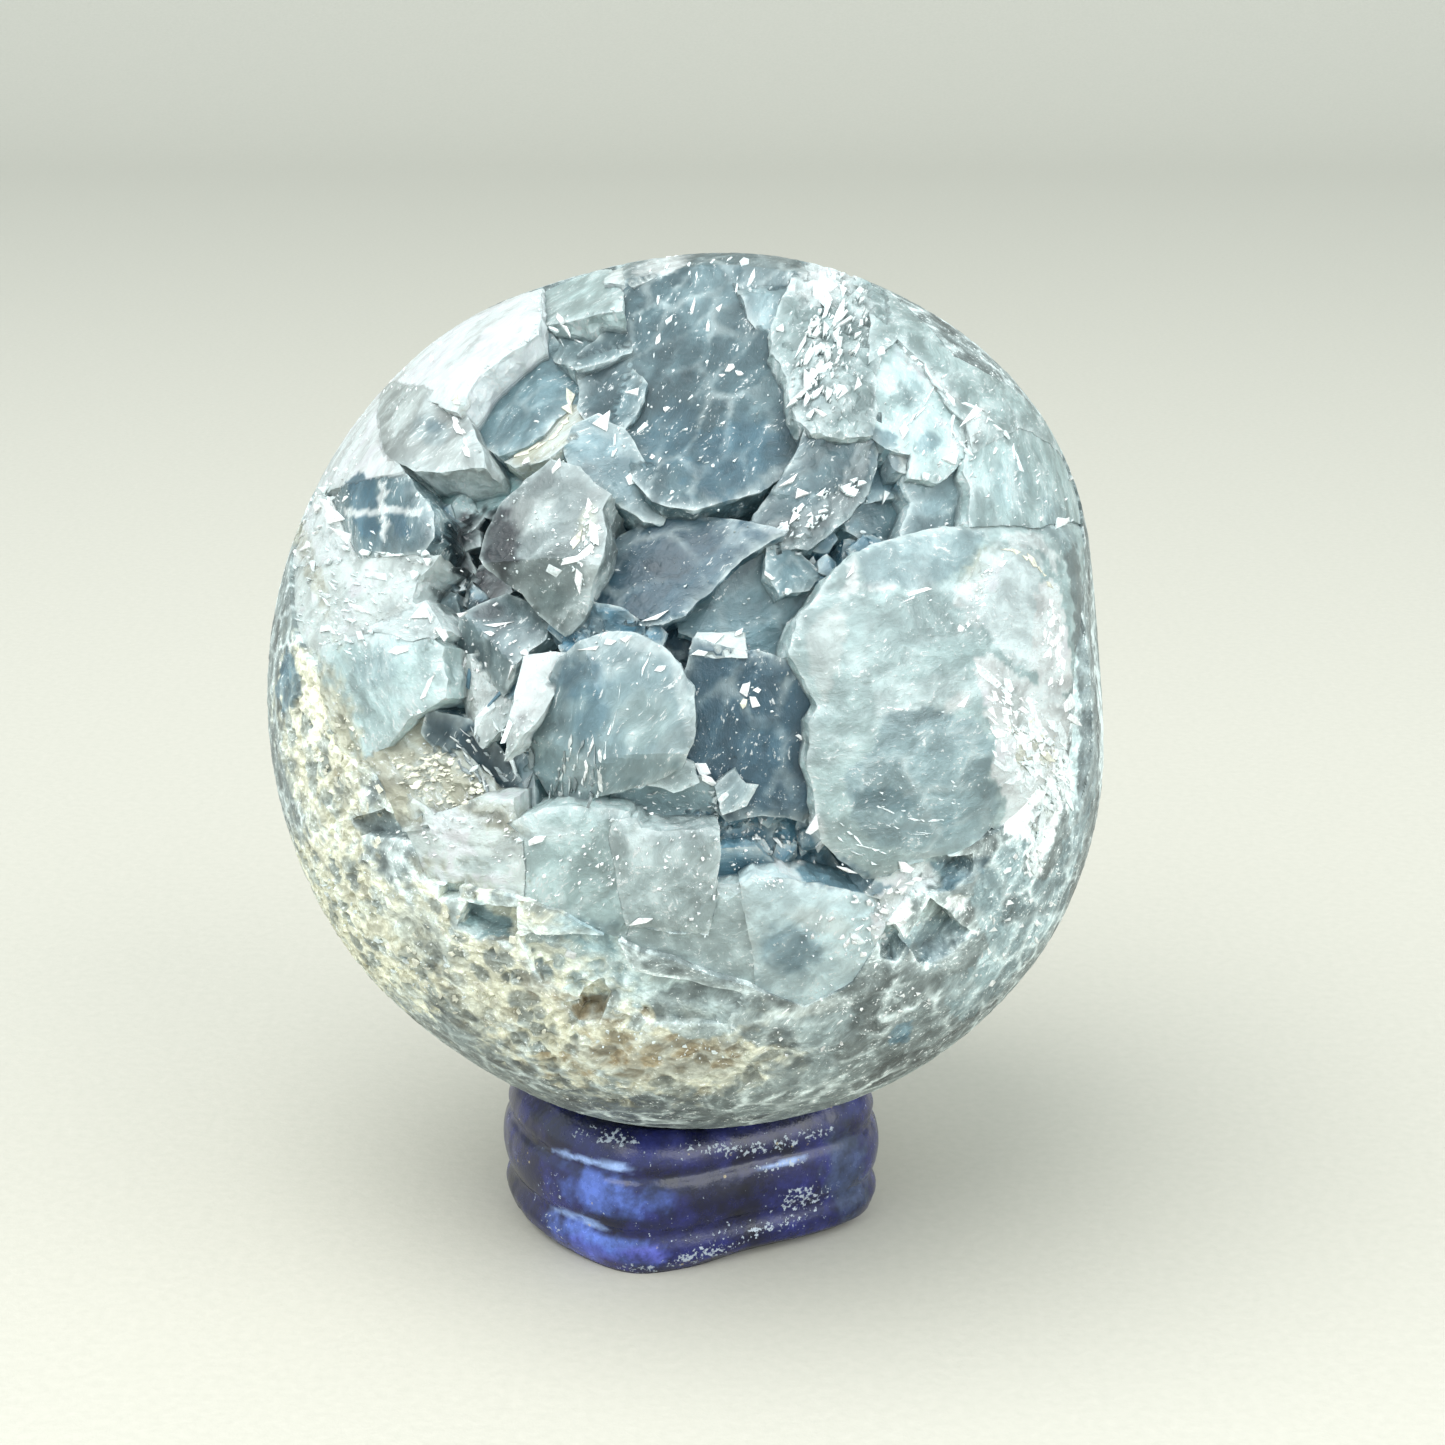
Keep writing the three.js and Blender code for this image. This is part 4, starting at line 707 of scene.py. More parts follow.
def chance(seed):
    """The part's own small source of chance, so that its scattered crystals are in the same places here."""
    state = seed
    whole = 0xFFFFFFFF

    def draw():
        nonlocal state
        state = (state + 0x6D2B79F5) & whole
        mixed = ((state ^ (state >> 15)) * (1 | state)) & whole
        mixed = ((mixed + (((mixed ^ (mixed >> 7)) * (61 | mixed)) & whole)) & whole) ^ mixed
        return ((mixed ^ (mixed >> 14)) & whole) / 4294967296

    return draw


def small_crystal(middle, girth, tip, draw):
    """A small roof-ended crystal: its outline and its two faces."""
    sides = 5 + int(2 * draw())
    turn = 2 * math.pi * draw()
    stretch = 1 + draw()
    lie = math.pi * draw()
    outline = []
    for i in range(sides):
        angle = turn + 2 * math.pi * (i + 0.4 * draw()) / sides
        along, across = girth * stretch * math.cos(angle), girth * math.sin(angle)
        right = middle[0] + along * math.cos(lie) - across * math.sin(lie)
        outline.append((right, middle[1] + along * math.sin(lie) + across * math.cos(lie)))
    slope = 20 + 25 * draw()
    sway = (20 * (draw() - 0.5), 20 * (draw() - 0.5))
    faces = [
        (*middle, tip, sway[0] - side * slope * math.sin(lie), sway[1] + side * slope * math.cos(lie))
        for side in (1, -1)
    ]
    return outline, faces, 0


def scattered(patches, draw):
    """Small crystals over patches of the floor."""
    made = {}
    for patch, (about, spread, count, tip) in enumerate(patches):
        for i in range(count):
            middle = [start + reach * (2 * draw() - 1) for start, reach in zip(about, spread)]
            girth = 0.4 + 0.9 * draw()
            made[f"small_{patch}_{i}"] = small_crystal(middle, girth, tip - 1.4 * draw(), draw)
    return made


def wobble(flat):
    """Moves places laid out flat a little, so that no outline runs quite straight."""
    moved = flat.copy()
    for size, amount in WOBBLES:
        for axis, start in ((0, 3.1), (1, 57.4)):
            waves = [noise.noise((x / size + start, y / size, start)) for x, y in flat.tolist()]
            moved[:, axis] += amount * np.array(waves)
    return moved


def outline_flat(outline, widen=0.0, depth=0.0):
    """An outline seen at a depth, laid out flat with its edges in short steps, moved out by widen."""
    ways = seen_way(outline, depth)
    middle = unit(ways.sum(0))
    angle = np.arccos(np.clip(ways @ middle, -1, 1))[:, None]
    ways = unit(ways - (middle - ways) * (widen / MEAN_RADIUS / angle))
    corners = flatten(ways)
    steps = []
    for start, end in zip(corners, np.roll(corners, -1, 0)):
        count = max(1, round(float(np.hypot(*(end - start))) / FINE_STEP))
        steps += [start + (end - start) * i / count for i in range(count)]
    return wobble(np.array(steps))


def inside(polygon, places):
    """Which places are inside a polygon."""
    x, y = places[:, 0], places[:, 1]
    found = np.zeros(len(places), bool)
    low, high = polygon.min(0), polygon.max(0)
    near = np.flatnonzero((x > low[0]) & (x < high[0]) & (y > low[1]) & (y < high[1]))
    x, y = x[near], y[near]
    hit = np.zeros(len(near), bool)
    for (x0, y0), (x1, y1) in zip(polygon, np.roll(polygon, -1, 0)):
        if y0 != y1:
            hit ^= ((y0 > y) != (y1 > y)) & (x < (x1 - x0) * (y - y0) / (y1 - y0) + x0)
    found[near] = hit
    return found


def grid(reach, step, inner=0.0):
    """Places on a loose triangular grid between two distances from the middle."""
    count = int(reach / step) + 2
    rows = int(count * 1.16)
    across, up = np.meshgrid(np.arange(-count, count + 1), np.arange(-rows, rows + 1))
    places = np.stack([(across + 0.5 * (up % 2)) * step, up * step * GRID_ROW], -1).reshape(-1, 2)
    places = places + np.random.default_rng(7).uniform(-GRID_SHAKE, GRID_SHAKE, places.shape) * step
    away = np.hypot(places[:, 0], places[:, 1])
    return places[(away < reach - 0.4 * step) & (away >= inner)]


def triangulated(loops, places, clear):
    """Triangles over places and closed loops laid out flat. Places too near a loop are left out."""
    edges = np.concatenate(loops)
    tree = kdtree.KDTree(len(edges))
    for i, (x, y) in enumerate(edges.tolist()):
        tree.insert((x, y, 0), i)
    tree.balance()
    kept = [(x, y) for x, y in places.tolist() if tree.find((x, y, 0))[2] > clear]
    links = []
    start = 0
    for loop in loops:
        count = len(loop)
        links += [(start + i, start + (i + 1) % count) for i in range(count)]
        start += count
    found = delaunay_2d_cdt([Vector(p) for p in edges.tolist() + kept], links, [], 0, 1e-4)
    points = np.array([tuple(p) for p in found[0]])
    triangles = np.array(found[2])
    a, b, c = (points[triangles[:, k]] for k in range(3))
    turned = (b[:, 0] - a[:, 0]) * (c[:, 1] - a[:, 1]) - (b[:, 1] - a[:, 1]) * (c[:, 0] - a[:, 0]) < 0
    triangles[turned] = triangles[turned][:, ::-1]
    return points, triangles


TOP, RIM, WALL, FOOT, BACK = range(5)


class Relief:
    """A surface whose every point is at some distance from the ball's centre, with walls where it steps."""

    def __init__(self):
        self.flat = []
        self.radius = []
        self.owner = []
        self.kind = [] # TOP, RIM, WALL, FOOT or BACK
        self.triangles = []

    def point(self, flat, radius, owner, kind):
        self.flat.append(tuple(flat))
        self.radius.append(float(radius))
        self.owner.append(int(owner))
        self.kind.append(kind)
        return len(self.flat) - 1

    def add_top(self, flat, triangles, owners, radius_of, edge_radius):
        """Adds the tops of what owns each triangle, and the walls between them. At the edge of it all the
        walls go to edge_radius, apart from the rim of the front, which stays open. Returns the edges'
        loops."""
        count = int(owners.max()) + 1
        keys, corner = np.unique(triangles.ravel() * count + np.repeat(owners, 3), return_inverse=True)
        vertex, owner = keys // count, keys % count
        radius = np.empty(len(keys))
        ways = unflatten(flat)
        for each in np.unique(owner):
            mine = owner == each
            radius[mine] = radius_of(each, ways[vertex[mine]])
        first = len(self.flat)
        self.flat += [tuple(p) for p in flat[vertex].tolist()]
        self.radius += radius.tolist()
        self.owner += owner.tolist()
        self.kind += [TOP] * len(keys)
        used = first + np.arange(len(keys))
        place = dict(zip(keys.tolist(), used.tolist()))

        directed = np.concatenate([triangles[:, [0, 1]], triangles[:, [1, 2]], triangles[:, [2, 0]]])
        side = np.tile(np.arange(len(triangles)), 3)
        span = len(flat) + 1
        code = directed[:, 0] * span + directed[:, 1]
        back = directed[:, 1] * span + directed[:, 0]
        order = np.argsort(code)
        at = np.minimum(np.searchsorted(code[order], back), len(code) - 1)
        paired = code[order][at] == back
        other = np.where(paired, side[order][at], -1)
        edge = ~paired
        step = paired & (owners[side] != owners[other]) & (directed[:, 0] < directed[:, 1])

        corners = {}
        for (a, b), own in zip(directed[step | edge].tolist(), owners[side[step | edge]].tolist()):
            corners.setdefault(a, set()).add(own)
            corners.setdefault(b, set()).add(own)
        for (a, b), own in zip(directed[step].tolist(), owners[other[step]].tolist()):
            corners[a].add(own)
            corners[b].add(own)
        on_rim = np.hypot(flat[:, 0], flat[:, 1]) > FRONT_REACH - 0.5 * COARSE_STEP
        on_edge = {v for v in directed[edge].ravel().tolist() if not on_rim[v]}
        levels = {}
        for v, owned in corners.items():
            line = sorted((self.radius[place[v * count + own]], place[v * count + own]) for own in owned)
            merged = [line[0]]
            for r, index in line[1:]:
                if r - merged[-1][0] < MERGE_STEP:
                    same = merged[-1][1]
                    for own in owned:
                        if place[v * count + own] == index:
                            place[v * count + own] = same
                else:
                    merged.append((r, index))
            if v in on_edge:
                lowest = self.owner[merged[0][1]]
                merged.insert(0, (edge_radius, self.point(flat[v], edge_radius, lowest, BACK)))
            filled = [merged[0]]
            for (low, low_index), (high, high_index) in zip(merged, merged[1:]):
                parts = max(1, math.ceil((high - low) / WALL_STEP)) if low != edge_radius else EDGE_WALL_ROWS
                for i in range(1, parts):
                    r = low + (high - low) * i / parts
                    filled.append((r, self.point(flat[v], r, self.owner[high_index], WALL)))
                filled.append((high, high_index))
                if low != edge_radius:
                    self.kind[high_index] = RIM
                    self.kind[low_index] = self.kind[low_index] or FOOT
            levels[v] = [index for _, index in filled]

        remap = np.array([place[key] for key in keys.tolist()])
        self.triangles += remap[corner].reshape(-1, 3).tolist()
        for (a, b), own, neighbour in zip(
            directed[step].tolist(), owners[side[step]].tolist(), owners[other[step]].tolist()
        ):
            ends = [place[v * count + o] for v in (a, b) for o in (own, neighbour)]
            self.wall_between(levels[a], ends[0], ends[1], levels[b], ends[2], ends[3])
        rim = {}
        for (a, b), own in zip(directed[edge].tolist(), owners[side[edge]].tolist()):
            ends = [place[v * count + own] for v in (a, b)]
            if a in on_edge:
                self.wall_between(levels[a], ends[0], levels[a][0], levels[b], ends[1], levels[b][0])
                ends = [levels[a][0], levels[b][0]]
            rim[ends[0]] = ends[1]
        return self.loops(rim)

    def loops(self, rim):
        found = []
        while rim:
            start = at = next(iter(rim))
            loop = []
            while at in rim:
                loop.append(at)
                at = rim.pop(at)
            if at == start:
                found.append(loop)
        return found

    def wall_between(self, line_a, a_from, a_to, line_b, b_from, b_to):
        """Closes the wall between two upright lines, each from one of its points to another."""
        a, b = self.stretch(line_a, a_from, a_to), self.stretch(line_b, b_from, b_to)
        i = j = 0
        while i < len(a) - 1 or j < len(b) - 1:
            if j == len(b) - 1 or (i < len(a) - 1 and (i + 1) * (len(b) - 1) <= (j + 1) * (len(a) - 1)):
                self.triangles.append([b[j], a[i], a[i + 1]])
                i += 1
            else:
                self.triangles.append([b[j], a[i], b[j + 1]])
                j += 1

    def stretch(self, line, start, end):
        i, j = line.index(start), line.index(end)
        return line[i : j + 1] if j >= i else line[j : i + 1][::-1]

    def add_sheet(self, loop, radius_of, step, owner, kind, outward=True, behind=False):
        """Closes a loop of points with a smooth sheet. One behind is laid out around the back's middle."""
        edge = np.array([self.flat[i] for i in loop])
        if behind:
            edge = turned_over(edge)
        places = grid(float(np.hypot(*edge.T).max()) + step, step)
        places = places[inside(edge, places)]
        flat, triangles = triangulated([edge], places, 0.5 * step)
        triangles = triangles[inside(edge, flat[triangles].mean(1))]
        new = flat[len(edge) :]
        if behind:
            new = turned_over(new)
        radius = radius_of(unflatten(new))
        added = [self.point(place, r, owner, kind) for place, r in zip(new.tolist(), radius.tolist())]
        if outward == behind:
            triangles = triangles[:, ::-1]
        self.triangles += np.array(list(loop) + added)[triangles].tolist()


def turned_over(flat):
    """Lays places out around the back's middle instead of the front's, or the other way."""
    away = np.hypot(flat[:, 0], flat[:, 1])[:, None]
    return flat * (math.pi * MEAN_RADIUS - away) / np.maximum(away, 1e-6)


class Hollow:
    """The crystals of the hollow, each with its outline laid out flat."""

    def __init__(self):
        shapes = dict(CRYSTALS)
        shapes.update(scattered(SCATTER, chance(SCATTER_SEED)))
        shapes.update(scattered(MORE_SCATTER, chance(MORE_SCATTER_SEED)))
        self.names = list(shapes)
        self.shapes = list(shapes.values())
        self.outlines = []
        for outline, faces, _ in self.shapes:
            if faces:
                depth = sum(face[2] for face in faces) / len(faces)
                self.outlines.append(outline_flat(outline, NATURAL_OVERLAP, depth))
            else:
                self.outlines.append(outline_flat(outline, GROUND_OVERLAP))

    def radius(self, index, ways):
        """Distance from the centre to a crystal's top, or to the floor, which comes after the last one."""
        ground = ground_radius(ways)
        if index == len(self.shapes):
            return ground - FLOOR_DEPTH
        _, faces, sunk = self.shapes[index]
        radius = ground - sunk
        for face in faces:
            radius = np.minimum(radius, face_radius(face, ways))
        return radius

    def owners(self, places):
        """Which crystal is on top at each place."""
        ways = unflatten(places)
        best = np.full(len(places), len(self.shapes))
        top = self.radius(len(self.shapes), ways)
        for index, outline in enumerate(self.outlines):
            within = np.flatnonzero(inside(outline, places))
            radius = self.radius(index, ways[within])
            higher = radius > top[within]
            best[within[higher]] = index
            top[within[higher]] = radius[higher]
        return best


class Ground:
    """The ground surface outside the hollow, with its pits."""

    def __init__(self):
        self.outlines = [outline_flat(outline) for outline, _ in PITS]

    def radius(self, index, ways):
        ground = ground_radius(ways)
        if index == len(PITS):
            return ground
        return np.minimum(ground, face_radius(PITS[index][1], ways))

    def owners(self, places):
        ways = unflatten(places)
        best = np.full(len(places), len(PITS))
        ground = ground_radius(ways)
        for index, outline in enumerate(self.outlines):
            within = np.flatnonzero(inside(outline, places))
            lower = self.radius(index, ways[within]) < ground[within] - MERGE_STEP
            best[within[lower]] = index
        return best


def ball_reliefs():
    """The crust of crystals in the hollow, and the ball around and behind it."""
    hollow, ground = Hollow(), Ground()
    angles = np.arange(RIM_POINTS) * 2 * math.pi / RIM_POINTS
    rim = np.stack([np.cos(angles), np.sin(angles)], -1) * FRONT_REACH
    edge = outline_flat(HOLLOW_EDGE)
    places = np.concatenate([grid(FINE_REACH, FINE_STEP), grid(FRONT_REACH, COARSE_STEP, FINE_REACH)])
    flat, triangles = triangulated([rim, edge, *hollow.outlines, *ground.outlines], places, 0.5 * FINE_STEP)
    middles = flat[triangles].mean(1)
    in_hollow = inside(edge, middles)

    crust = Relief()
    owners = hollow.owners(middles[in_hollow])
    loops = crust.add_top(flat, triangles[in_hollow], owners, hollow.radius, CRUST_BACK)
    for loop in loops:
        crust.add_sheet(loop, even(CRUST_BACK), INSIDE_STEP, len(hollow.shapes), BACK, outward=False)

    body = Relief()
    outside = ~in_hollow & (np.hypot(*middles.T) < FRONT_REACH)
    owners = ground.owners(middles[outside])
    loops = body.add_top(flat, triangles[outside], owners, ground.radius, HOLLOW_RADIUS)
    for loop in loops:
        if math.hypot(*body.flat[loop[0]]) > FINE_REACH:
            body.add_sheet(loop, ground_radius, BACK_STEP, len(PITS), TOP, behind=True)
        else:
            body.add_sheet(loop, even(HOLLOW_RADIUS), INSIDE_STEP, len(PITS), BACK)
    return crust, body, hollow, ground


def even(radius):
    return lambda ways: np.full(len(ways), radius)


# The ring's widest outline in plan, a four-cornered stone, and how far its foot is set in at each point
STAND_PLAN = [
    (18.3, 1.6, 1.8),
    (15.6, 9, 1.2),
    (9.4, 14, 1.2),
    (1.4, 17.8, 1.4),
    (-7.6, 16, 1.2),
    (-15.2, 11.6, 1.2),
    (-18.9, 5, 1.2),
    (-17.6, -3.2, 1.6),
    (-13.2, -10.2, 1.6),
    (-6.4, -15, 1.2),
    (-0.6, -14.4, 1.6),
    (5.6, -11.4, 2.2),
    (12.2, -8, 2.6),
    (17, -4, 2.4),
]
# Its outside from the foot up, with its three bands: how far it stands out of the plan, and its height
STAND_PROFILE = [
    (-0.4, 1.3),
    (0, 2.6),
    (-0.5, 4.5),
    (-0.1, 5.4),
    (0.2, 7.4),
    (-0.1, 9.4),
    (-0.6, 10.3),
    (-0.4, 11.4),
    (-0.9, 12.8),
    (-2.2, 14.4),
]
STAND_HEIGHT = 15.6
BORE_RADIUS = 8.8
BORE_EDGE = 0.6
STAND_ROUND = 280 # points around the ring
STAND_ROW = 0.4 # between rows of points up its side
CONTACT_GAP = 0.35 # between ball and ring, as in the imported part


def smooth_curve(points, places, closed):
    """A curve through points, at places counted in points. It turns gently where points are close."""
    points = np.array(points, float)
    last = len(points) - 1
    made = []
    for place in places:
        start = int(place) if closed else min(int(place), last - 1)
        t = place - start
        if closed:
            near = [points[(start + k) % len(points)] for k in (-1, 0, 1, 2)]
        else:
            near = [points[min(max(start + k, 0), last)] for k in (-1, 0, 1, 2)]
        gaps = [max(float(np.linalg.norm(b - a)) ** 0.5, 1e-3) for a, b in zip(near, near[1:])]
        if not closed and start == 0:
            gaps[0] = gaps[1]
            near[0] = 2 * near[1] - near[2]
        if not closed and start == last - 1:
            gaps[2] = gaps[1]
            near[3] = 2 * near[2] - near[1]
        a, b, c, d = near
        slope_b = (b - a) / gaps[0] - (c - a) / (gaps[0] + gaps[1]) + (c - b) / gaps[1]
        slope_c = (c - b) / gaps[1] - (d - b) / (gaps[1] + gaps[2]) + (d - c) / gaps[2]
        slope_b, slope_c = slope_b * gaps[1], slope_c * gaps[1]
        bend = 3 * (c - b) - 2 * slope_b - slope_c
        twist = 2 * (b - c) + slope_b + slope_c
        made.append(b + slope_b * t + bend * t**2 + twist * t**3)
    return np.array(made)


def ring_shape():
    """The ring: points around it in rows from the foot up the outside, over the top and down the bore."""
    plan = smooth_curve(STAND_PLAN, np.arange(STAND_ROUND) * len(STAND_PLAN) / STAND_ROUND, closed=True)
    reach, bearing = np.hypot(plan[:, 0], plan[:, 1]), np.arctan2(plan[:, 1], plan[:, 0])
    rows = round(STAND_PROFILE[-1][1] / STAND_ROW)
    side = smooth_curve(STAND_PROFILE, np.linspace(0, len(STAND_PROFILE) - 1, rows), closed=False)
    inner = [(BORE_RADIUS, STAND_HEIGHT)]
    inner += [(BORE_RADIUS, z) for z in np.linspace(STAND_HEIGHT, BORE_EDGE, 16)[1:]]
    inner += [(BORE_RADIUS + BORE_EDGE, 0)]
    lines = []
    for r, angle, set_in in zip(reach, bearing, plan[:, 2]):
        top = r + side[-1][0]
        line = [(r - set_in, 0)]
        line += [(r - set_in + (side[0][0] + set_in) * k, STAND_PROFILE[0][1] * k) for k in (0.3, 0.65)]
        line += [(r + out, z) for out, z in side]
        line += [
            (top + (BORE_RADIUS - top) * k, side[-1][1] + (STAND_HEIGHT - side[-1][1]) * min(1, 1.6 * k))
            for k in np.linspace(0, 1, 18)[1:-1]
        ]
        line += inner
        foot = line[0][0]
        line += [(BORE_RADIUS + BORE_EDGE + (foot - BORE_RADIUS - BORE_EDGE) * k, 0) for k in (0.33, 0.67)]
        lines.append([(a * math.cos(angle), a * math.sin(angle), z) for a, z in line])
    return np.array(lines)


def to_world(points):
    """From the ball's frame to the object's, in millimetres."""
    sin, cos = math.sin(VIEW_TILT), math.cos(VIEW_TILT)
    x, y, z = points.T
    return np.stack([x, y * sin - z * cos, y * cos + z * sin], -1) + BALL_CENTRE


def to_ball(points):
    """The other way."""
    sin, cos = math.sin(VIEW_TILT), math.cos(VIEW_TILT)
    x, y, z = (points - BALL_CENTRE).T
    return np.stack([x, y * sin + z * cos, z * sin - y * cos], -1)


def seen(points):
    """Where the camera sees points, in millimetres right and up of the ball's middle."""
    forward = np.array([0, math.cos(CAMERA_PITCH), -math.sin(CAMERA_PITCH)])
    upward = np.array([0, math.sin(CAMERA_PITCH), math.cos(CAMERA_PITCH)])
    away = points - CAMERA_PLACE
    depth = away @ forward
    column = IMAGE_SIZE / 2 + FOCAL_PIXELS * away[:, 0] / depth
    row = IMAGE_SIZE / 2 - FOCAL_PIXELS * (away @ upward) / depth
    return np.stack([column - BALL_MIDDLE_PIXEL[0], BALL_MIDDLE_PIXEL[1] - row], -1) / PIXELS_PER_MM


def make_piece(name, points, faces, material, replaces, paint, smooth=False):
    """A mesh piece from points in millimetres, with its painted values, riding on the one body."""
    mesh = bpy.data.meshes.new(name)
    mesh.from_pydata((np.asarray(points) * METRES).tolist(), [], faces)
    mesh.validate()
    for key, values in paint.items():
        values = np.asarray(values, np.float32)
        kind = "FLOAT" if values.ndim == 1 else "FLOAT_VECTOR"
        layer = mesh.attributes.new(key, kind, "POINT")
        layer.data.foreach_set("value" if values.ndim == 1 else "vector", values.ravel())
    if smooth:
        mesh.shade_smooth()
    piece = bpy.data.objects.new(name, mesh)
    bpy.context.scene.collection.objects.link(piece)
    mesh.materials.append(material)
    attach(piece, "root")
    if replaces:
        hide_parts(*replaces)


# How stone is painted and roughened. Lengths are millimetres.
GRAIN_SIZE = 1.2
PATCH_SIZE = 3.6
OWNER_SHIFT = 3.7 # moves each crystal's pattern away from its neighbours'
WARP = 0.9 # how far the streaks are bent
MARKED_FROM = 2 # marks lie only on what is this far in front of the ball's middle
RAGGED = 0.4 # how far the edges of areas are bent
# The next two reaches are of the painted highlight and glow along each crystal's rim
RIM_LIGHT_REACH = 0.35
GLOW_REACH = 1.1
RIM_SEARCH = 1.4
CREVICE_SHADE_REACH = 0.7
CRYSTAL_PATCHES = 0.17
GROUND_PATCHES = 0.32
BACK_SHADE = 0.7
WALL_SHADE = 1.1
WALL_SHAKE = 0.25
USUAL_ROUNDING = 0.2
SANDY_COLOURS = ("sand", "tan", "cream", "brown")
DARK_COLOURS = ("teal", "slate", "smoke", "brown", "moss", "hole_shade")


def cell_pattern(places, spacing, seed):
    """Divides places into grains about spacing wide. Returns each place's grain tone, how far it is from the
    border with the next grain and how high it is on its grain's own tilted face."""
    chance_source = np.random.default_rng(seed)
    low, high = places.min(0) - spacing, places.max(0) + spacing
    corners = [np.arange(a, b, spacing) for a, b in zip(low, high)]
    seeds = np.stack(np.meshgrid(*corners, indexing="ij"), -1).reshape(-1, 2)
    seeds = seeds + chance_source.uniform(-0.5, 0.5, seeds.shape) * spacing
    tones = chance_source.uniform(-1, 1, len(seeds))
    tilts = chance_source.normal(size=(len(seeds), 2))
    tree = kdtree.KDTree(len(seeds))
    for i, (x, y) in enumerate(seeds.tolist()):
        tree.insert((x, y, 0), i)
    tree.balance()
    found = [tree.find_n((x, y, 0), 2) for x, y in places.tolist()]
    nearest = np.array([near[0][1] for near in found])
    border = np.array([near[1][2] - near[0][2] for near in found]) / spacing
    lean = ((places - seeds[nearest]) * tilts[nearest]).sum(1) / spacing
    return tones[nearest], border, lean


def fractal(points, size, start, octaves=4):
    """Smooth chance values around 0 at points, with their largest waves about size long."""
    start = Vector((start, 0, 0))
    return np.array([noise.fractal(Vector(p) + start, 0.9, 2.1, octaves) for p in (points / size).tolist()])


def away_from(points, owner, chosen, reach):
    """How far each point is from the nearest chosen one, if that is on its own crystal and not far off."""
    picked = np.flatnonzero(chosen)
    tree = kdtree.KDTree(len(picked))
    for i, place in zip(picked.tolist(), points[picked].tolist()):
        tree.insert(place, i)
    tree.balance()
    distance = np.full(len(points), 4.0 * reach)
    for i, place in enumerate(points.tolist()):
        _, found, away = tree.find(place)
        if away < distance[i] and owner[found] == owner[i]:
            distance[i] = away
    return distance


def ramp(values, low, high):
    """From 0 at low to 1 at high, level at both ends."""
    t = np.clip((values - low) / (high - low), 0, 1)
    return t * t * (3 - 2 * t)


def turned(x, y, degrees):
    cos, sin = math.cos(math.radians(degrees)), math.sin(math.radians(degrees))
    return x * cos - y * sin, x * sin + y * cos


def blend(tint, colour, amount):
    """Mixes a share of a colour into the tints."""
    tint += (np.array(PALETTE[colour]) - tint) * np.clip(amount, 0, 1)[:, None]


def mark_amount(place, mark, uneven):
    """How strongly a mark lies on each place, with an uneven edge."""
    _, right, up, length, width, angle, strength = mark
    x, y = turned(place[:, 0] - right, place[:, 1] - up, -angle)
    edge = np.hypot(x / length, y / width) + uneven
    return strength * ramp(-edge, -1.15, -0.6)


def add_marks(tint, place, in_front, fine, broad):
    """Blends the marks and areas into the tints. Returns how strongly each colour lies on each point."""
    amounts = {colour: np.zeros(len(tint)) for colour in PALETTE}
    found = [(mark[0], mark_amount(place, mark, 0.35 * fine + 0.15 * broad)) for mark in MARKS]
    bent = place + RAGGED * np.stack([fine, broad], -1)
    found += [(colour, strength * inside(np.array(outline), bent)) for colour, strength, outline in AREAS]
    for colour, amount in found:
        blend(tint, colour, amount * in_front)
        amounts[colour] += amount * in_front
    return amounts


def total(amounts, colours):
    return np.clip(sum(amounts[colour] for colour in colours), 0, 1)


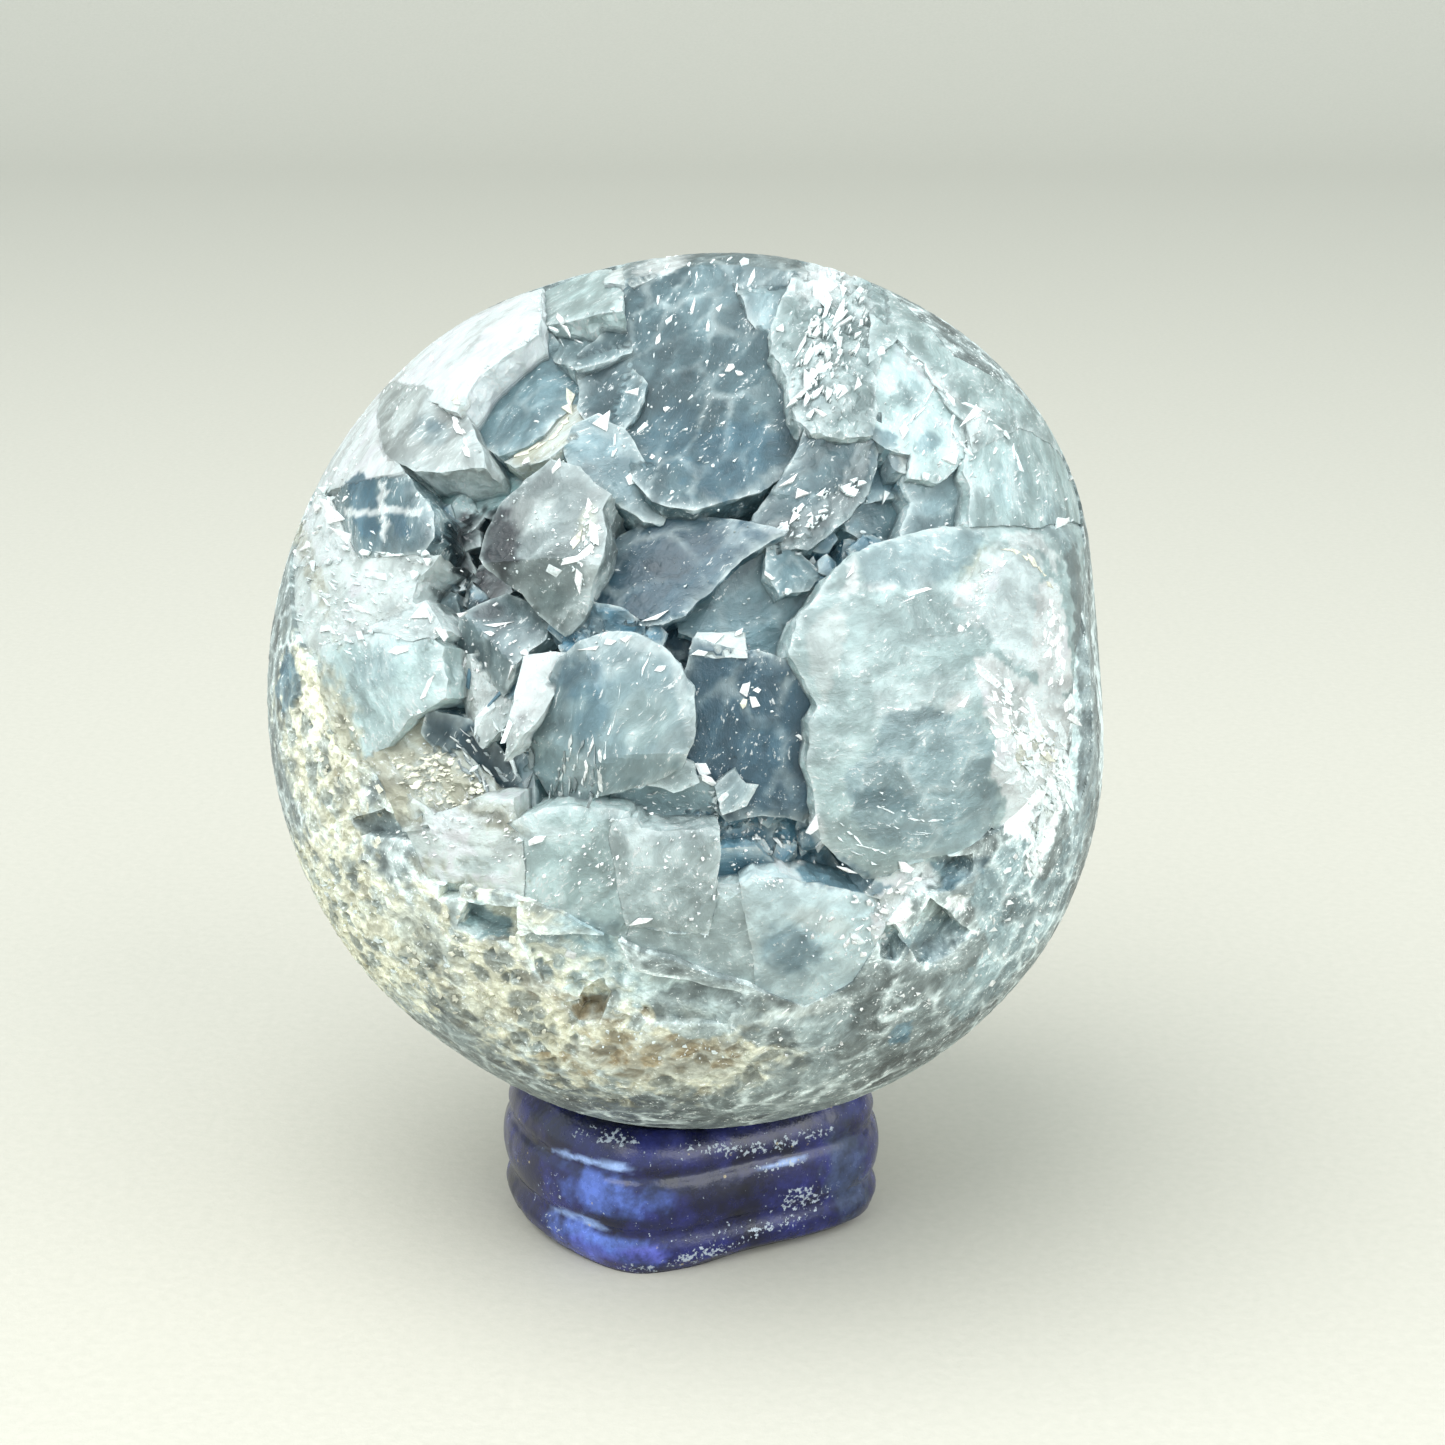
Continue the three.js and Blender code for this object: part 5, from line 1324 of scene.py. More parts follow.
def stone_surface(relief, looks, seed, patches=CRYSTAL_PATCHES, all_round=False):
    """The world points of a relief and its painted values, worked out from each owner's look. Patches is how
    much lighter or darker parts of it are. A relief that goes all round has a paler back, and its grain lies
    in space."""
    flat, radius = np.array(relief.flat), np.array(relief.radius)
    owner, kind = np.array(relief.owner), np.array(relief.kind)
    ways = unflatten(flat)
    shade, veil, rough, turn, stretch, height, rounded = (
        np.array([(*look, USUAL_ROUNDING)[k] for look in looks], float)[owner] for k in range(1, 8)
    )
    tint = np.array([PALETTE[look[0]] for look in looks])[owner] * shade[:, None]

    surface = ways * radius[:, None]
    broad = fractal(surface, 5.0, seed + 0.3)
    fine = fractal(surface, 1.1, seed + 40.7)
    cos, sin = np.cos(np.radians(turn)), np.sin(np.radians(turn))
    warped = flat + WARP * np.stack([broad, fractal(surface, 4.0, seed + 70.1)], -1)
    along = (warped[:, 0] * cos + warped[:, 1] * sin) / stretch
    aside = warped[:, 1] * cos - warped[:, 0] * sin
    laid = np.stack([along, aside + 0.6 * (radius - MEAN_RADIUS) + owner * OWNER_SHIFT], -1)
    tone, border, lean = cell_pattern(laid, GRAIN_SIZE, seed)
    big_tone, big_border, _ = cell_pattern(laid, PATCH_SIZE, seed + 1)

    in_front = to_ball(to_world(surface))[:, 2] > MARKED_FROM
    amounts = add_marks(tint, seen(to_world(surface)), in_front, fine, broad)
    if all_round:
        blend(tint, "aqua", 0.6 * ramp(-surface[:, 2], -10, 12))
    darkened = total(amounts, DARK_COLOURS)
    whitened = total(amounts, ["white"])
    sandy = total(amounts, SANDY_COLOURS) * (1 - darkened)
    height = height + 0.4 * sandy + 0.3 * whitened * (height > 0.02)

    top = (kind == TOP) | (kind == RIM) | (kind == FOOT)
    wall = kind == WALL
    back = kind == BACK
    # Painted highlight: each crystal's top is painted lighter near its own rim, in a narrow band and a wider
    # glow
    from_rim = away_from(surface, owner, kind == RIM, RIM_SEARCH)
    rim_light = np.exp(-from_rim / RIM_LIGHT_REACH) * top
    glow = np.exp(-from_rim / GLOW_REACH) * top
    # Painted shade: each crystal's top is darkened near the foot of a step up to its neighbour
    crevice_shade = np.exp(-away_from(surface, owner, kind == FOOT, CREVICE_SHADE_REACH) / CREVICE_SHADE_REACH) * top
    net = ramp(border, 0.34, 0.1) * sandy
    tint *= (1 + patches * big_tone + (0.09 + 0.3 * np.minimum(height, 0.5)) * tone + 0.14 * broad)[:, None]
    seams = ramp(big_border, 0.2, 0.04) * (0.4 + broad).clip(0, 1) * (1 - 0.8 * darkened)
    blend(tint, "frost", 3 * patches * seams)
    blend(tint, "cream", 0.5 * net)
    # the painted highlight and glow along the rims
    blend(tint, "frost", (0.7 * rim_light + 0.3 * glow) * (0.6 + 0.8 * fine).clip(0, 1))
    # the painted shade at the foot of the steps
    tint *= (1 - 0.15 * crevice_shade)[:, None]
    tint[wall] *= WALL_SHADE
    tint[back] *= BACK_SHADE
    veil = veil + 0.4 * whitened - 0.8 * darkened
    # the painted rim highlight also whitens the veil
    veil = veil + 0.12 * broad + 0.4 * rim_light
    veil[wall] += 0.3
    veil[back] = 0

    drop = height * (0.5 - 0.5 * tone) - 0.5 * height * lean.clip(-1, 1) + 0.05 * (0.5 + fine)
    drop = np.clip(drop * (1 - 0.8 * net), 0, None) + SKIN
    drop += np.where(top, rounded * np.exp(-from_rim / (0.35 + 1.2 * rounded)), 0)
    drop[back] = 0
    surface = surface - ways * drop[:, None]
    shake = np.stack([fractal(surface, 1.3, seed + k * 11.3, 2) for k in range(3)], -1)
    surface += shake * np.where(wall, WALL_SHAKE, 0.0)[:, None]

    if all_round:
        grain = surface + WARP * broad[:, None]
    else:
        grain = np.stack([along, aside, (radius - MEAN_RADIUS) * 0.8 + owner * OWNER_SHIFT], -1)
    paint = {
        "tint": tint.clip(0, 1),
        "veil": veil.clip(0, 1.4),
        "rough": (rough + 0.25 * sandy).clip(0.05, 1),
        "grain": grain,
        "sandy": sandy,
    }
    return to_world(surface), paint


CELESTITE_IOR = 1.62
CELESTITE_SHINE = 0.2
CHIP_SHINE = 0.3
LAPIS_IOR = 1.5
GAMMA = 1.35 # deepens the colours of celestite


class Shader:
    """A material's nodes, added one at a time around its surface shader."""

    def __init__(self, name):
        self.material = bpy.data.materials.new(name)
        self.material.use_nodes = True
        self.tree = self.material.node_tree
        self.surface = self.tree.nodes["Principled BSDF"]

    def fill(self, node, inputs):
        for key, value in inputs.items():
            if isinstance(value, bpy.types.NodeSocket):
                self.tree.links.new(value, node.inputs[key])
            else:
                node.inputs[key].default_value = value

    def add(self, kind, inputs, **settings):
        node = self.tree.nodes.new(kind)
        for key, value in settings.items():
            setattr(node, key, value)
        self.fill(node, inputs)
        return node

    def attribute(self, name, output="Fac"):
        return self.add("ShaderNodeAttribute", {}, attribute_name=name).outputs[output]

    def place(self):
        return self.add("ShaderNodeTexCoord", {}).outputs["Object"]

    def noise(self, vector, scale, detail, roughness):
        inputs = {"Vector": vector, "Scale": scale, "Detail": detail, "Roughness": roughness}
        return self.add("ShaderNodeTexNoise", inputs).outputs["Fac"]

    def cells(self, vector, scale, randomness=1.0):
        inputs = {"Vector": vector, "Scale": scale, "Randomness": randomness}
        return self.add("ShaderNodeTexVoronoi", inputs).outputs

    def ramp(self, value, low, high, to_low=0.0, to_high=1.0):
        inputs = {"Value": value, "From Min": low, "From Max": high, "To Min": to_low, "To Max": to_high}
        return self.add("ShaderNodeMapRange", inputs, interpolation_type="SMOOTHSTEP").outputs["Result"]

    def product(self, a, b):
        return self.add("ShaderNodeMath", {0: a, 1: b}, operation="MULTIPLY").outputs[0]

    def product_sum(self, a, b, c):
        """a times b, plus c."""
        return self.add("ShaderNodeMath", {0: a, 1: b, 2: c}, operation="MULTIPLY_ADD").outputs[0]

    def mix(self, a, b, share, blend="MIX"):
        node = self.add("ShaderNodeMix", {}, data_type="RGBA", blend_type=blend)
        self.fill(node, {0: share, 6: a, 7: b})
        return node.outputs[2]

    def bump(self, height, distance_mm, strength):
        inputs = {"Height": height, "Distance": distance_mm * METRES, "Strength": strength}
        return self.add("ShaderNodeBump", inputs).outputs["Normal"]


def rgba(name):
    return (*PALETTE[name], 1)


def netted(shader, tint, grain, large):
    """Matrix: small grey cells in a net of pale veins. Returns its colour and where the veins are."""
    sandy = shader.attribute("sandy")
    warped = shader.add("ShaderNodeVectorMath", {0: grain, 1: large}, operation="ADD").outputs[0]
    cells = shader.cells(warped, 0.5, 0.95)
    vein = shader.ramp(cells["Distance"], 0.42, 0.62)
    dark = shader.product(shader.ramp(cells["Color"], 0.3, 0.6, 0.0, 0.65), sandy)
    colour = shader.mix(tint, rgba("smoke"), dark)
    pale = shader.mix(rgba("frost"), rgba("cream"), sandy)
    share = shader.product(vein, shader.product_sum(sandy, 0.7, 0.12))
    return shader.mix(colour, pale, share), share


def veiled_stone(shader, net=False):
    """The colour, roughness and bump that crystal and ground stone share, from the painted values."""
    grain = shader.attribute("grain", "Vector")
    veil = shader.attribute("veil")
    tint = shader.attribute("tint", "Color")
    detail, roughness = (5, 0.66) if net else (3, 0.55)
    fine_share, light, dark = (0.4, 1.18, 0.7) if net else (0.3, 1.12, 0.8)
    large = shader.noise(grain, 0.55, detail, roughness)
    fine = shader.noise(grain, 2.8, 3, 0.7)
    vein = 0.0
    if net:
        tint, vein = netted(shader, tint, grain, large)
    cloud = shader.product_sum(fine, fine_share, large)
    mean = 0.5 + 0.5 * fine_share
    shade = shader.ramp(cloud, mean - 0.18, mean + 0.2, dark, light)
    colour = shader.mix(tint, shade, 1.0, "MULTIPLY")
    frost = shader.ramp(shader.product_sum(veil, 0.42, cloud), mean + 0.12, mean + 0.52)
    colour = shader.mix(colour, rgba("frost"), shader.product(frost, 0.7))
    colour = shader.add("ShaderNodeGamma", {"Color": colour, "Gamma": GAMMA}).outputs["Color"]
    crisp = shader.product_sum(large, 0.35, shader.product_sum(veil, 0.09, fine))
    speck = shader.ramp(crisp, 0.825, 0.855, 0.0, 0.8)
    colour = shader.mix(colour, rgba("white"), speck)
    rough = shader.product_sum(frost, 0.14, shader.attribute("rough"))
    height = shader.product_sum(speck, 0.25, shader.product_sum(large, 0.8, fine))
    height = shader.product_sum(vein, 1.2, height)
    return colour, rough, shader.bump(height, 0.12, 0.8)


def stone_material(name, net):
    """A material of celestite, opaque unless more is set on its surface shader."""
    shader = Shader(name)
    colour, rough, normal = veiled_stone(shader, net)
    inputs = {
        "Base Color": colour,
        "Roughness": rough,
        "Normal": normal,
        "IOR": CELESTITE_IOR,
        "Specular IOR Level": CELESTITE_SHINE,
    }
    shader.fill(shader.surface, inputs)
    return shader


def crystal_material():
    """Clear to milky crystal: part of the light goes through it, and it takes the red out on the way."""
    shader = stone_material("celestite_crystal", net=False)
    shader.fill(shader.surface, {"Transmission Weight": 0.5})
    volume = shader.add("ShaderNodeVolumeAbsorption", {"Color": (0.56, 0.75, 0.82, 1), "Density": 40.0})
    output = shader.tree.nodes["Material Output"]
    shader.tree.links.new(volume.outputs[0], output.inputs["Volume"])
    return shader.material


def ground_material():
    """Milky stone ground to a ball, with sandy matrix in places."""
    return stone_material("celestite_ground", net=True).material


# White chips and splinters lying on the crystals: colour, place, length, width and turn of each
CHIPS = [
    # On the great face
    ("white", -8, 25, 2.3, 1.3, 25),
    ("white", -5.2, 28.2, 1.5, 0.6, -10),
    ("white", -3, 33, 0.8, 0.4, 60),
    ("white", 3.8, 30.4, 0.9, 0.5, 30),
    ("white", 4.7, 30, 0.7, 0.3, -20),
    ("white", 3.1, 29.8, 0.5, 0.3, 0),
    ("white", 0.3, 35.5, 0.9, 0.4, 70),
    ("white", 2.6, 35.2, 0.7, 0.4, 10),
    ("white", -3.5, 22, 0.8, 0.6, 0),
    ("white", -2.2, 26.6, 0.7, 0.4, 40),
    ("white", 8.7, 34.3, 0.9, 0.5, 0),
    ("frost", -4.6, 24.6, 1.6, 0.5, 50),
    # On the crystals left of it
    ("white", -12.6, 21, 1.3, 0.9, 50),
    ("white", -19.4, 22.4, 2, 0.9, -62),
    ("white", -18.3, 21.2, 0.7, 0.4, 20),
    ("white", -14.6, 25.4, 0.5, 0.3, 0),
    ("cream", -22.3, 27.6, 1.2, 0.8, 30),
    ("tan", -21.6, 27, 1.5, 0.9, -40),
    # The fractured edge of the grey crystal
    ("white", -9.4, 17.6, 2.6, 0.8, 70),
    ("white", -9, 15.2, 2.4, 1, 100),
    ("white", -9.7, 12.8, 2.6, 1.2, 60),
    ("white", -11.3, 12.2, 2.4, 1, 20),
    ("white", -10.4, 10.4, 2, 0.9, 80),
    ("cream", -10.8, 14, 1.8, 0.7, 50),
    ("frost", -12.8, 11, 1.6, 0.8, -20),
    # Middle
    ("white", -2.5, 1.8, 1, 0.5, 20),
    ("white", -3, 6.8, 2.6, 0.5, 18),
    ("white", 7.8, 10.6, 1.2, 0.5, -30),
    ("white", -9.5, 3.8, 1.9, 0.8, 10),
    ("white", -7.4, 4.3, 1.4, 0.6, -10),
    ("white", -6, 4.6, 1.5, 0.7, 15),
    ("white", 1, 3.2, 2, 0.6, -8),
    ("frost", 3, 4.6, 2.2, 1, 0),
    ("white", 4.8, 5.2, 1.2, 0.5, 30),
    ("white", 9.4, 19.6, 1.6, 0.6, 30),
    ("white", 10.8, 18.4, 1.3, 0.7, -20),
    ("white", 10.2, 16.2, 1.5, 0.6, 60),
    # On the centre slab
    ("white", 5.4, -0.3, 1.5, 0.9, 40),
    ("white", 6.3, -1.4, 1.3, 0.8, -50),
    ("cream", 5.3, -1.6, 1.2, 0.6, 80),
    ("white", 6.6, -0.2, 0.7, 0.5, 0),
    ("white", 10.8, -4.8, 1.4, 0.4, -30),
    ("white", 1.3, -7.6, 2, 1, -55),
    ("white", 2.2, -9, 1.8, 0.9, -40),
    ("frost", 3.4, -10.4, 1.4, 0.5, 40),
    # The twins, the blade and the fins between them
    ("white", -18.3, 6.1, 1.9, 0.8, 10),
    ("white", -18.9, 5.2, 0.9, 0.4, -20),
    ("white", -22, 1.5, 2.8, 0.7, 60),
    ("white", -25, 0, 2.4, 0.6, 70),
    ("white", -16.8, 1.4, 2, 0.5, 70),
    ("frost", -19.4, -2.6, 4.2, 0.8, 62),
    ("frost", -17.4, -4.4, 3.4, 0.6, 70),
    ("slate", -18.4, -1, 3, 0.5, 60),
    ("slate", -21, 0.8, 2.2, 0.6, 75),
    # Left, at the edge of the hollow
    ("white", -34.4, 16.6, 3.2, 1.4, -50),
    ("white", -33, 14.4, 2.6, 1.3, -30),
    ("white", -25.6, 7.2, 2.6, 1.6, 40),
    ("white", -23.6, 5.2, 1.6, 0.8, -50),
    ("frost", -30, 10.6, 3, 0.9, -6),
    ("white", -31.6, 7.6, 2.4, 0.7, -30),
    ("white", -34.6, 5.4, 2, 0.9, -40),
    ("white", -27.6, 3.6, 2.2, 0.6, 10),
    # Right: the seam, its white a painted highlight, chips and layers of the broad crystal
    ("white", 15.6, 11, 2.6, 0.5, 62),
    ("white", 22, 9.2, 3, 0.4, 18),
    ("white", 21, 8.4, 1.6, 0.3, 24),
    ("white", 11.9, -13.4, 2, 1, 60),
    ("white", 12.6, -15, 1.8, 0.8, 70),
    ("white", 20.8, -17.2, 1.8, 1, -30),
    ("white", 22.4, -18.3, 1.7, 0.9, -50),
    ("frost", 23.4, -19.4, 1.2, 0.6, -20),
    ("white", 15, -17.4, 1.8, 0.4, -20),
    # Upper right
    ("white", 27, 26, 2.2, 1.2, 50),
    ("white", 25, 22, 1.9, 1, 10),
    ("white", 20.5, 24.6, 1.4, 0.7, 60),
    ("white", 21.2, 19, 1.7, 0.7, -40),
    ("white", 12.8, 38.6, 2.4, 1.2, -20),
    # The ragged plate on the right
    ("frost", 28.6, 1.2, 3, 0.8, -44),
    ("frost", 33.2, -4.2, 2.8, 0.9, -60),
    ("frost", 35.6, -4.6, 2, 0.8, -80),
    ("white", 36.2, -1.6, 1.8, 0.9, 60),
    ("white", 36.8, -3.2, 1.6, 0.7, -40),
    ("cream", 34.2, -6.6, 1.6, 0.7, -50),
    ("white", 26.4, -1.2, 1.6, 0.8, 40),
    ("frost", 31.4, -8.6, 2.4, 0.9, 40),
    ("frost", 33.6, -13, 3.4, 0.7, 82),
    # The ridge down from the top
    ("frost", 12.6, 37.6, 2, 0.8, -30),
    ("white", 14.2, 35.6, 1.6, 0.7, 70),
    ("frost", 13, 30.6, 1.4, 0.6, 40),
    ("frost", 14.4, 28.6, 1.8, 0.7, 80),
    ("white", 12.6, 26.4, 1.4, 0.6, -40),
    # Below
    ("white", -11.4, -25.6, 1.1, 0.7, 0),
    ("white", -14.6, -14.6, 1.7, 0.8, 20),
    ("white", -4.4, -22.4, 2.2, 0.5, 10),
    ("frost", 16, -24, 1.8, 0.8, -30),
]

# Thin lines of splinters: colour, width and the places the line goes through
SPLINTER_LINES = [
    # The curved blade and the edges of the crystals beside it
    ("cream", 0.8, [(-11, 29), (-11.3, 26.4), (-12.6, 24.2), (-14.4, 22.8), (-16.2, 22.3)]),
    ("white", 0.45, [(-23, 26.8), (-21.9, 24.6), (-20.9, 22.2)]),
    ("white", 0.35, [(-12.6, 35.2), (-11.2, 33.4), (-9.4, 32.2)]),
    ("frost", 0.3, [(-13.2, 34), (-12, 32.4)]),
    ("frost", 0.5, [(-33.2, 13.6), (-30, 12.8), (-26.4, 12.9)]),
    # The arch: its inner edge
    ("frost", 0.22, [(-6.4, 0), (-7.2, -3.6), (-8.6, -9)]),
    ("frost", 0.25, [(-3.4, 3.6), (-4.6, 1)]),
    # The fan below the arch, the blade and the fin
    ("white", 0.28, [(-9.2, -5), (-10.6, -11.6)]),
    ("frost", 0.22, [(-10.2, -5.4), (-12, -11.6)]),
    ("pale", 0.4, [(-11, -4.8), (-12.6, -10.8)]),
    ("frost", 0.28, [(-11.8, -6.4), (-13.6, -11)]),
    ("pale", 0.3, [(-8.4, -6.4), (-8.6, -11.6)]),
    ("smoke", 0.35, [(-9.8, -5), (-11.4, -11.4)]),
    ("smoke", 0.3, [(-11.4, -5.4), (-13, -10.8)]),
    ("smoke", 0.3, [(-8.8, -6), (-9.6, -11.6)]),
    ("smoke", 0.5, [(-14.4, -4), (-15.6, -10.6)]),
    ("pale", 0.2, [(-21.6, -4), (-18, -9.8)]),
    ("pale", 0.18, [(-22.6, -4.6), (-18.8, -10.4)]),
    ("smoke", 0.35, [(-20.8, -3.6), (-17.4, -9.2)]),
    ("smoke", 0.35, [(-22.2, -5), (-19, -9.8)]),
    ("smoke", 0.3, [(-23.4, -5.4), (-20.4, -9.2)]),
    ("frost", 0.25, [(-18.8, -3), (-16.4, -8.6)]),
    # The right side: the seam, its white line a painted highlight, and the layers of the broad crystal
    ("white", 0.22, [(17, -2.3), (19, -2), (21.4, -2.1)]),
    ("frost", 0.2, [(18, -11.4), (21, -12.6), (24, -12.8)]),
    ("frost", 0.18, [(18.6, -13), (21.4, -14), (24, -14)]),
    ("frost", 0.2, [(13.6, -13.4), (15.6, -15.6), (18, -17)]),
    ("frost", 0.2, [(14.4, -12.8), (16.6, -15), (19, -16)]),
    ("cream", 0.4, [(30, 13.2), (32.6, 12.4), (34.6, 9.6)]),
    # Upper right: a net of white lines
    ("frost", 0.3, [(21.8, 31.4), (23.4, 29.2), (25.2, 27.4), (27.8, 26.6)]),
    ("frost", 0.3, [(23.4, 29.2), (22.2, 26.6), (20.6, 24.8)]),
    ("frost", 0.25, [(25.2, 27.4), (25, 24.4), (26.8, 22)]),
    ("frost", 0.3, [(18.6, 33.4), (21.8, 31.4)]),
    ("frost", 0.25, [(27.8, 26.6), (30.4, 24), (31.6, 20.6)]),
]

# Fields of small chips and dust: colour, place, half length and half width, turn, how many, their greatest
# length, how slender they are and their turn
CHIP_FIELDS = [
    ("frost", 1, 29, 10, 8, 60, 60, 0.4, 1.6, 60),
    ("frost", 0, 24, 8, 5, 20, 40, 0.9, 3, 50),
    ("frost", 2, 36, 8, 4, 0, 30, 0.9, 2.5, 60),
    ("frost", 13.6, 33, 7.6, 2.8, 80, 90, 1.4, 1.9, 70),
    ("pale", 13.4, 31, 8, 3.4, 78, 80, 1.9, 2, 60),
    ("frost", 12, 16.6, 5.4, 1.4, 34, 50, 1.2, 1.8, 30),
    ("frost", -10, 14, 5, 1.4, 82, 50, 0.9, 1.6, 70),
    ("frost", -14, 13, 4, 4, 0, 40, 0.4, 1.5, 30),
    ("frost", -30, 9, 7, 6, 0, 60, 0.7, 3, 140),
    ("frost", -34, 8, 6, 4, -60, 60, 1.3, 3, 140),
    ("white", -27, 30, 8, 3, 50, 50, 0.8, 3, 50),
    ("frost", -2, 12, 8, 4, 20, 30, 0.3, 1.4, 0),
    ("frost", 3, 8, 9, 4, 0, 35, 0.35, 1.8, 20),
    ("frost", 6, -6, 6, 7, 0, 50, 0.3, 1.5, 0),
    ("white", 7.5, -16, 3.4, 3.6, 0, 150, 0.4, 1.5, 0),
    ("white", 2, -13, 5, 2.4, 0, 50, 0.7, 2.5, 40),
    ("white", -3, -11.4, 5, 1.4, 0, 30, 0.6, 2.4, 0),
    ("frost", -6, 1, 6, 5, 0, 25, 0.3, 1.5, 0),
    ("white", -19, 3, 5, 6, 70, 60, 0.5, 2, 65),
    ("frost", 29, 2, 8, 4, -60, 50, 0.5, 2, 130),
    ("cream", 33, -5, 3, 2.4, -50, 30, 0.7, 1.8, 120),
    ("frost", 32.6, -6, 6.8, 3.2, -64, 170, 2.2, 2.6, 122),
    ("white", 31.8, -4.6, 5.6, 2.4, -56, 80, 1.5, 2.4, 122),
    ("frost", 33.2, -14, 3.4, 1, 82, 30, 1.6, 3, 82),
    ("white", 34.8, 4, 4.6, 1.1, -84, 60, 1.7, 2.4, 95),
    ("white", 28, 9, 4.6, 0.9, 64, 40, 0.8, 1.6, 60),
    ("frost", 20, 2, 6, 8, 0, 30, 0.3, 1.6, 0),
    ("frost", 21, -11, 5, 4, 0, 40, 0.7, 3, -15),
    ("white", 24, 25, 6, 6, 0, 90, 0.7, 2.6, 50),
    ("white", 30, 20, 5, 7, 70, 50, 0.6, 2.6, 70),
    ("white", 18, -22, 8, 3, 20, 90, 0.9, 2, 30),
    ("white", -10, -17, 10, 4, 0, 90, 0.5, 1.8, 30),
    ("white", 0, -19, 4, 4, 0, 60, 0.4, 1.6, 0),
    ("white", -22, -14, 5, 4, 0, 40, 0.7, 2.2, 20),
    ("cream", -24, -8.6, 4.6, 2.4, -20, 150, 0.7, 1.4, -20),
    ("cream", -33, -8, 9, 3, -76, 70, 0.9, 1.8, -70),
    ("frost", -28, -23, 10, 4, -45, 60, 1, 2.4, -42),
    ("cream", -20, -28, 9, 5, -36, 90, 0.8, 1.7, -30),
    ("frost", -2, -34, 10, 2, 0, 50, 0.6, 2, 0),
    ("white", 16, -31, 9, 4, 30, 60, 0.6, 2, 25),
    ("white", 30, -22, 8, 4, 55, 90, 0.9, 2, 55),
    ("white", -36, 16, 8, 2, 60, 60, 1, 2.4, 60),
]
CHIP_HEIGHT = 0.12
CHIP_DEPTH = 0.25
CHIP_GROWTH = 1.15
CHIP_SEED = 90210
SPLINTER_STEP = 0.9
SPLINTERS_KEPT = 0.82
FIELD_CROWDING = 0.6 # below 1 the chips of a field lie closer at its edge
RIM_CHIPS = (0.02, 0.16) # the share of rim points with a chip, on clear crystals and more on veiled ones
SEEN_FROM = 12 # rim chips lie only on what is this far in front of the ball's middle


def chip_outline(length, width, turn, draw):
    """The corners of one chip about its middle."""
    corners = 3 + int(3 * draw())
    outline = []
    for i in range(corners):
        angle = 2 * math.pi * (i + 0.6 * draw()) / corners
        reach = 0.3 + 0.35 * draw()
        outline.append(turned(length * reach * math.cos(angle), width * reach * math.sin(angle), turn))
    return outline


def rim_chips(crust, looks, draw):
    """Small white chips along the crystals' broken edges, more of them where a crystal is more veiled."""
    rims = [i for i, kind in enumerate(crust.kind) if kind == RIM]
    flat, radius = np.array(crust.flat)[rims], np.array(crust.radius)[rims]
    local = unflatten(flat) * radius[:, None]
    places = seen(to_world(local))
    shown = local[:, 2] > SEEN_FROM
    least, more = RIM_CHIPS
    for (right, up), visible, index in zip(places.tolist(), shown.tolist(), rims):
        veil = looks[crust.owner[index]][2]
        if draw() < least + more * veil and visible:
            length = 0.2 + 1.1 * draw() ** 4
            colour = "white" if draw() < 0.25 else "frost"
            width = length * (0.4 + 0.5 * draw())
            yield colour, (right, up), chip_outline(length, width, 180 * draw(), draw)


def single_chips(draw):
    for colour, right, up, length, width, turn in CHIPS:
        yield colour, (right, up), chip_outline(CHIP_GROWTH * length, CHIP_GROWTH * width, turn, draw)


def splinters(draw):
    """Splinters along the lines, a few of them left out."""
    for colour, width, places in SPLINTER_LINES:
        for start, end in zip(places, places[1:]):
            way = np.subtract(end, start)
            turn = math.degrees(math.atan2(way[1], way[0]))
            pieces = max(1, round(float(np.hypot(*way)) / SPLINTER_STEP))
            for i in range(pieces):
                sway = [0.9 * width * (draw() - 0.5) for _ in range(2)]
                middle = np.add(start, way * (i + 0.5) / pieces) + sway
                length = 0.5 + 1.6 * draw()
                broad = width * (0.4 + 1.2 * draw())
                outline = chip_outline(length, broad, turn + 24 * (draw() - 0.5), draw)
                if draw() < SPLINTERS_KEPT:
                    yield colour, tuple(middle), outline


def field_chips(draw):
    """Chips and dust over the fields: most are small, and a few are long."""
    for colour, right, up, reach, spread, turn, count, size, slender, lie in CHIP_FIELDS:
        for _ in range(count):
            bearing, away = 2 * math.pi * draw(), draw() ** FIELD_CROWDING
            x, y = turned(reach * away * math.cos(bearing), spread * away * math.sin(bearing), turn)
            length = size * (0.17 + draw() ** 3)
            width = length / slender * (0.6 + 0.8 * draw())
            outline = chip_outline(length, width, lie + 70 * (draw() - 0.5), draw)
            yield colour, (right + x, up + y), outline


def chip_places(chips, hollow, ground):
    """Whether each chip lies in the hollow, which crystal or pit is under it, and how deep that is."""
    middles = np.array([middle for _, middle, _ in chips])
    edge = outline_flat(HOLLOW_EDGE)
    depth = np.zeros(len(chips))
    for _ in range(3):
        ways = seen_way(middles, depth)
        places = flatten(ways)
        in_hollow = inside(edge, places)
        owners = np.where(in_hollow, hollow.owners(places), ground.owners(places))
        for within, of in ((in_hollow, hollow), (~in_hollow, ground)):
            for own in np.unique(owners[within]):
                mine = within & (owners == own)
                depth[mine] = MEAN_RADIUS - of.radius(own, ways[mine])
    return in_hollow, owners, depth


def chip_faces_from(first, count):
    """The faces of a chip: a low point with count corners, their feet below them, and its underside."""
    corners = [first + 1 + i for i in range(count)]
    feet = [first + 1 + count + i for i in range(count)]
    for i in range(count):
        k = (i + 1) % count
        yield [first, corners[i], corners[k]]
        yield [corners[i], feet[i], feet[k], corners[k]]
    yield feet[::-1]


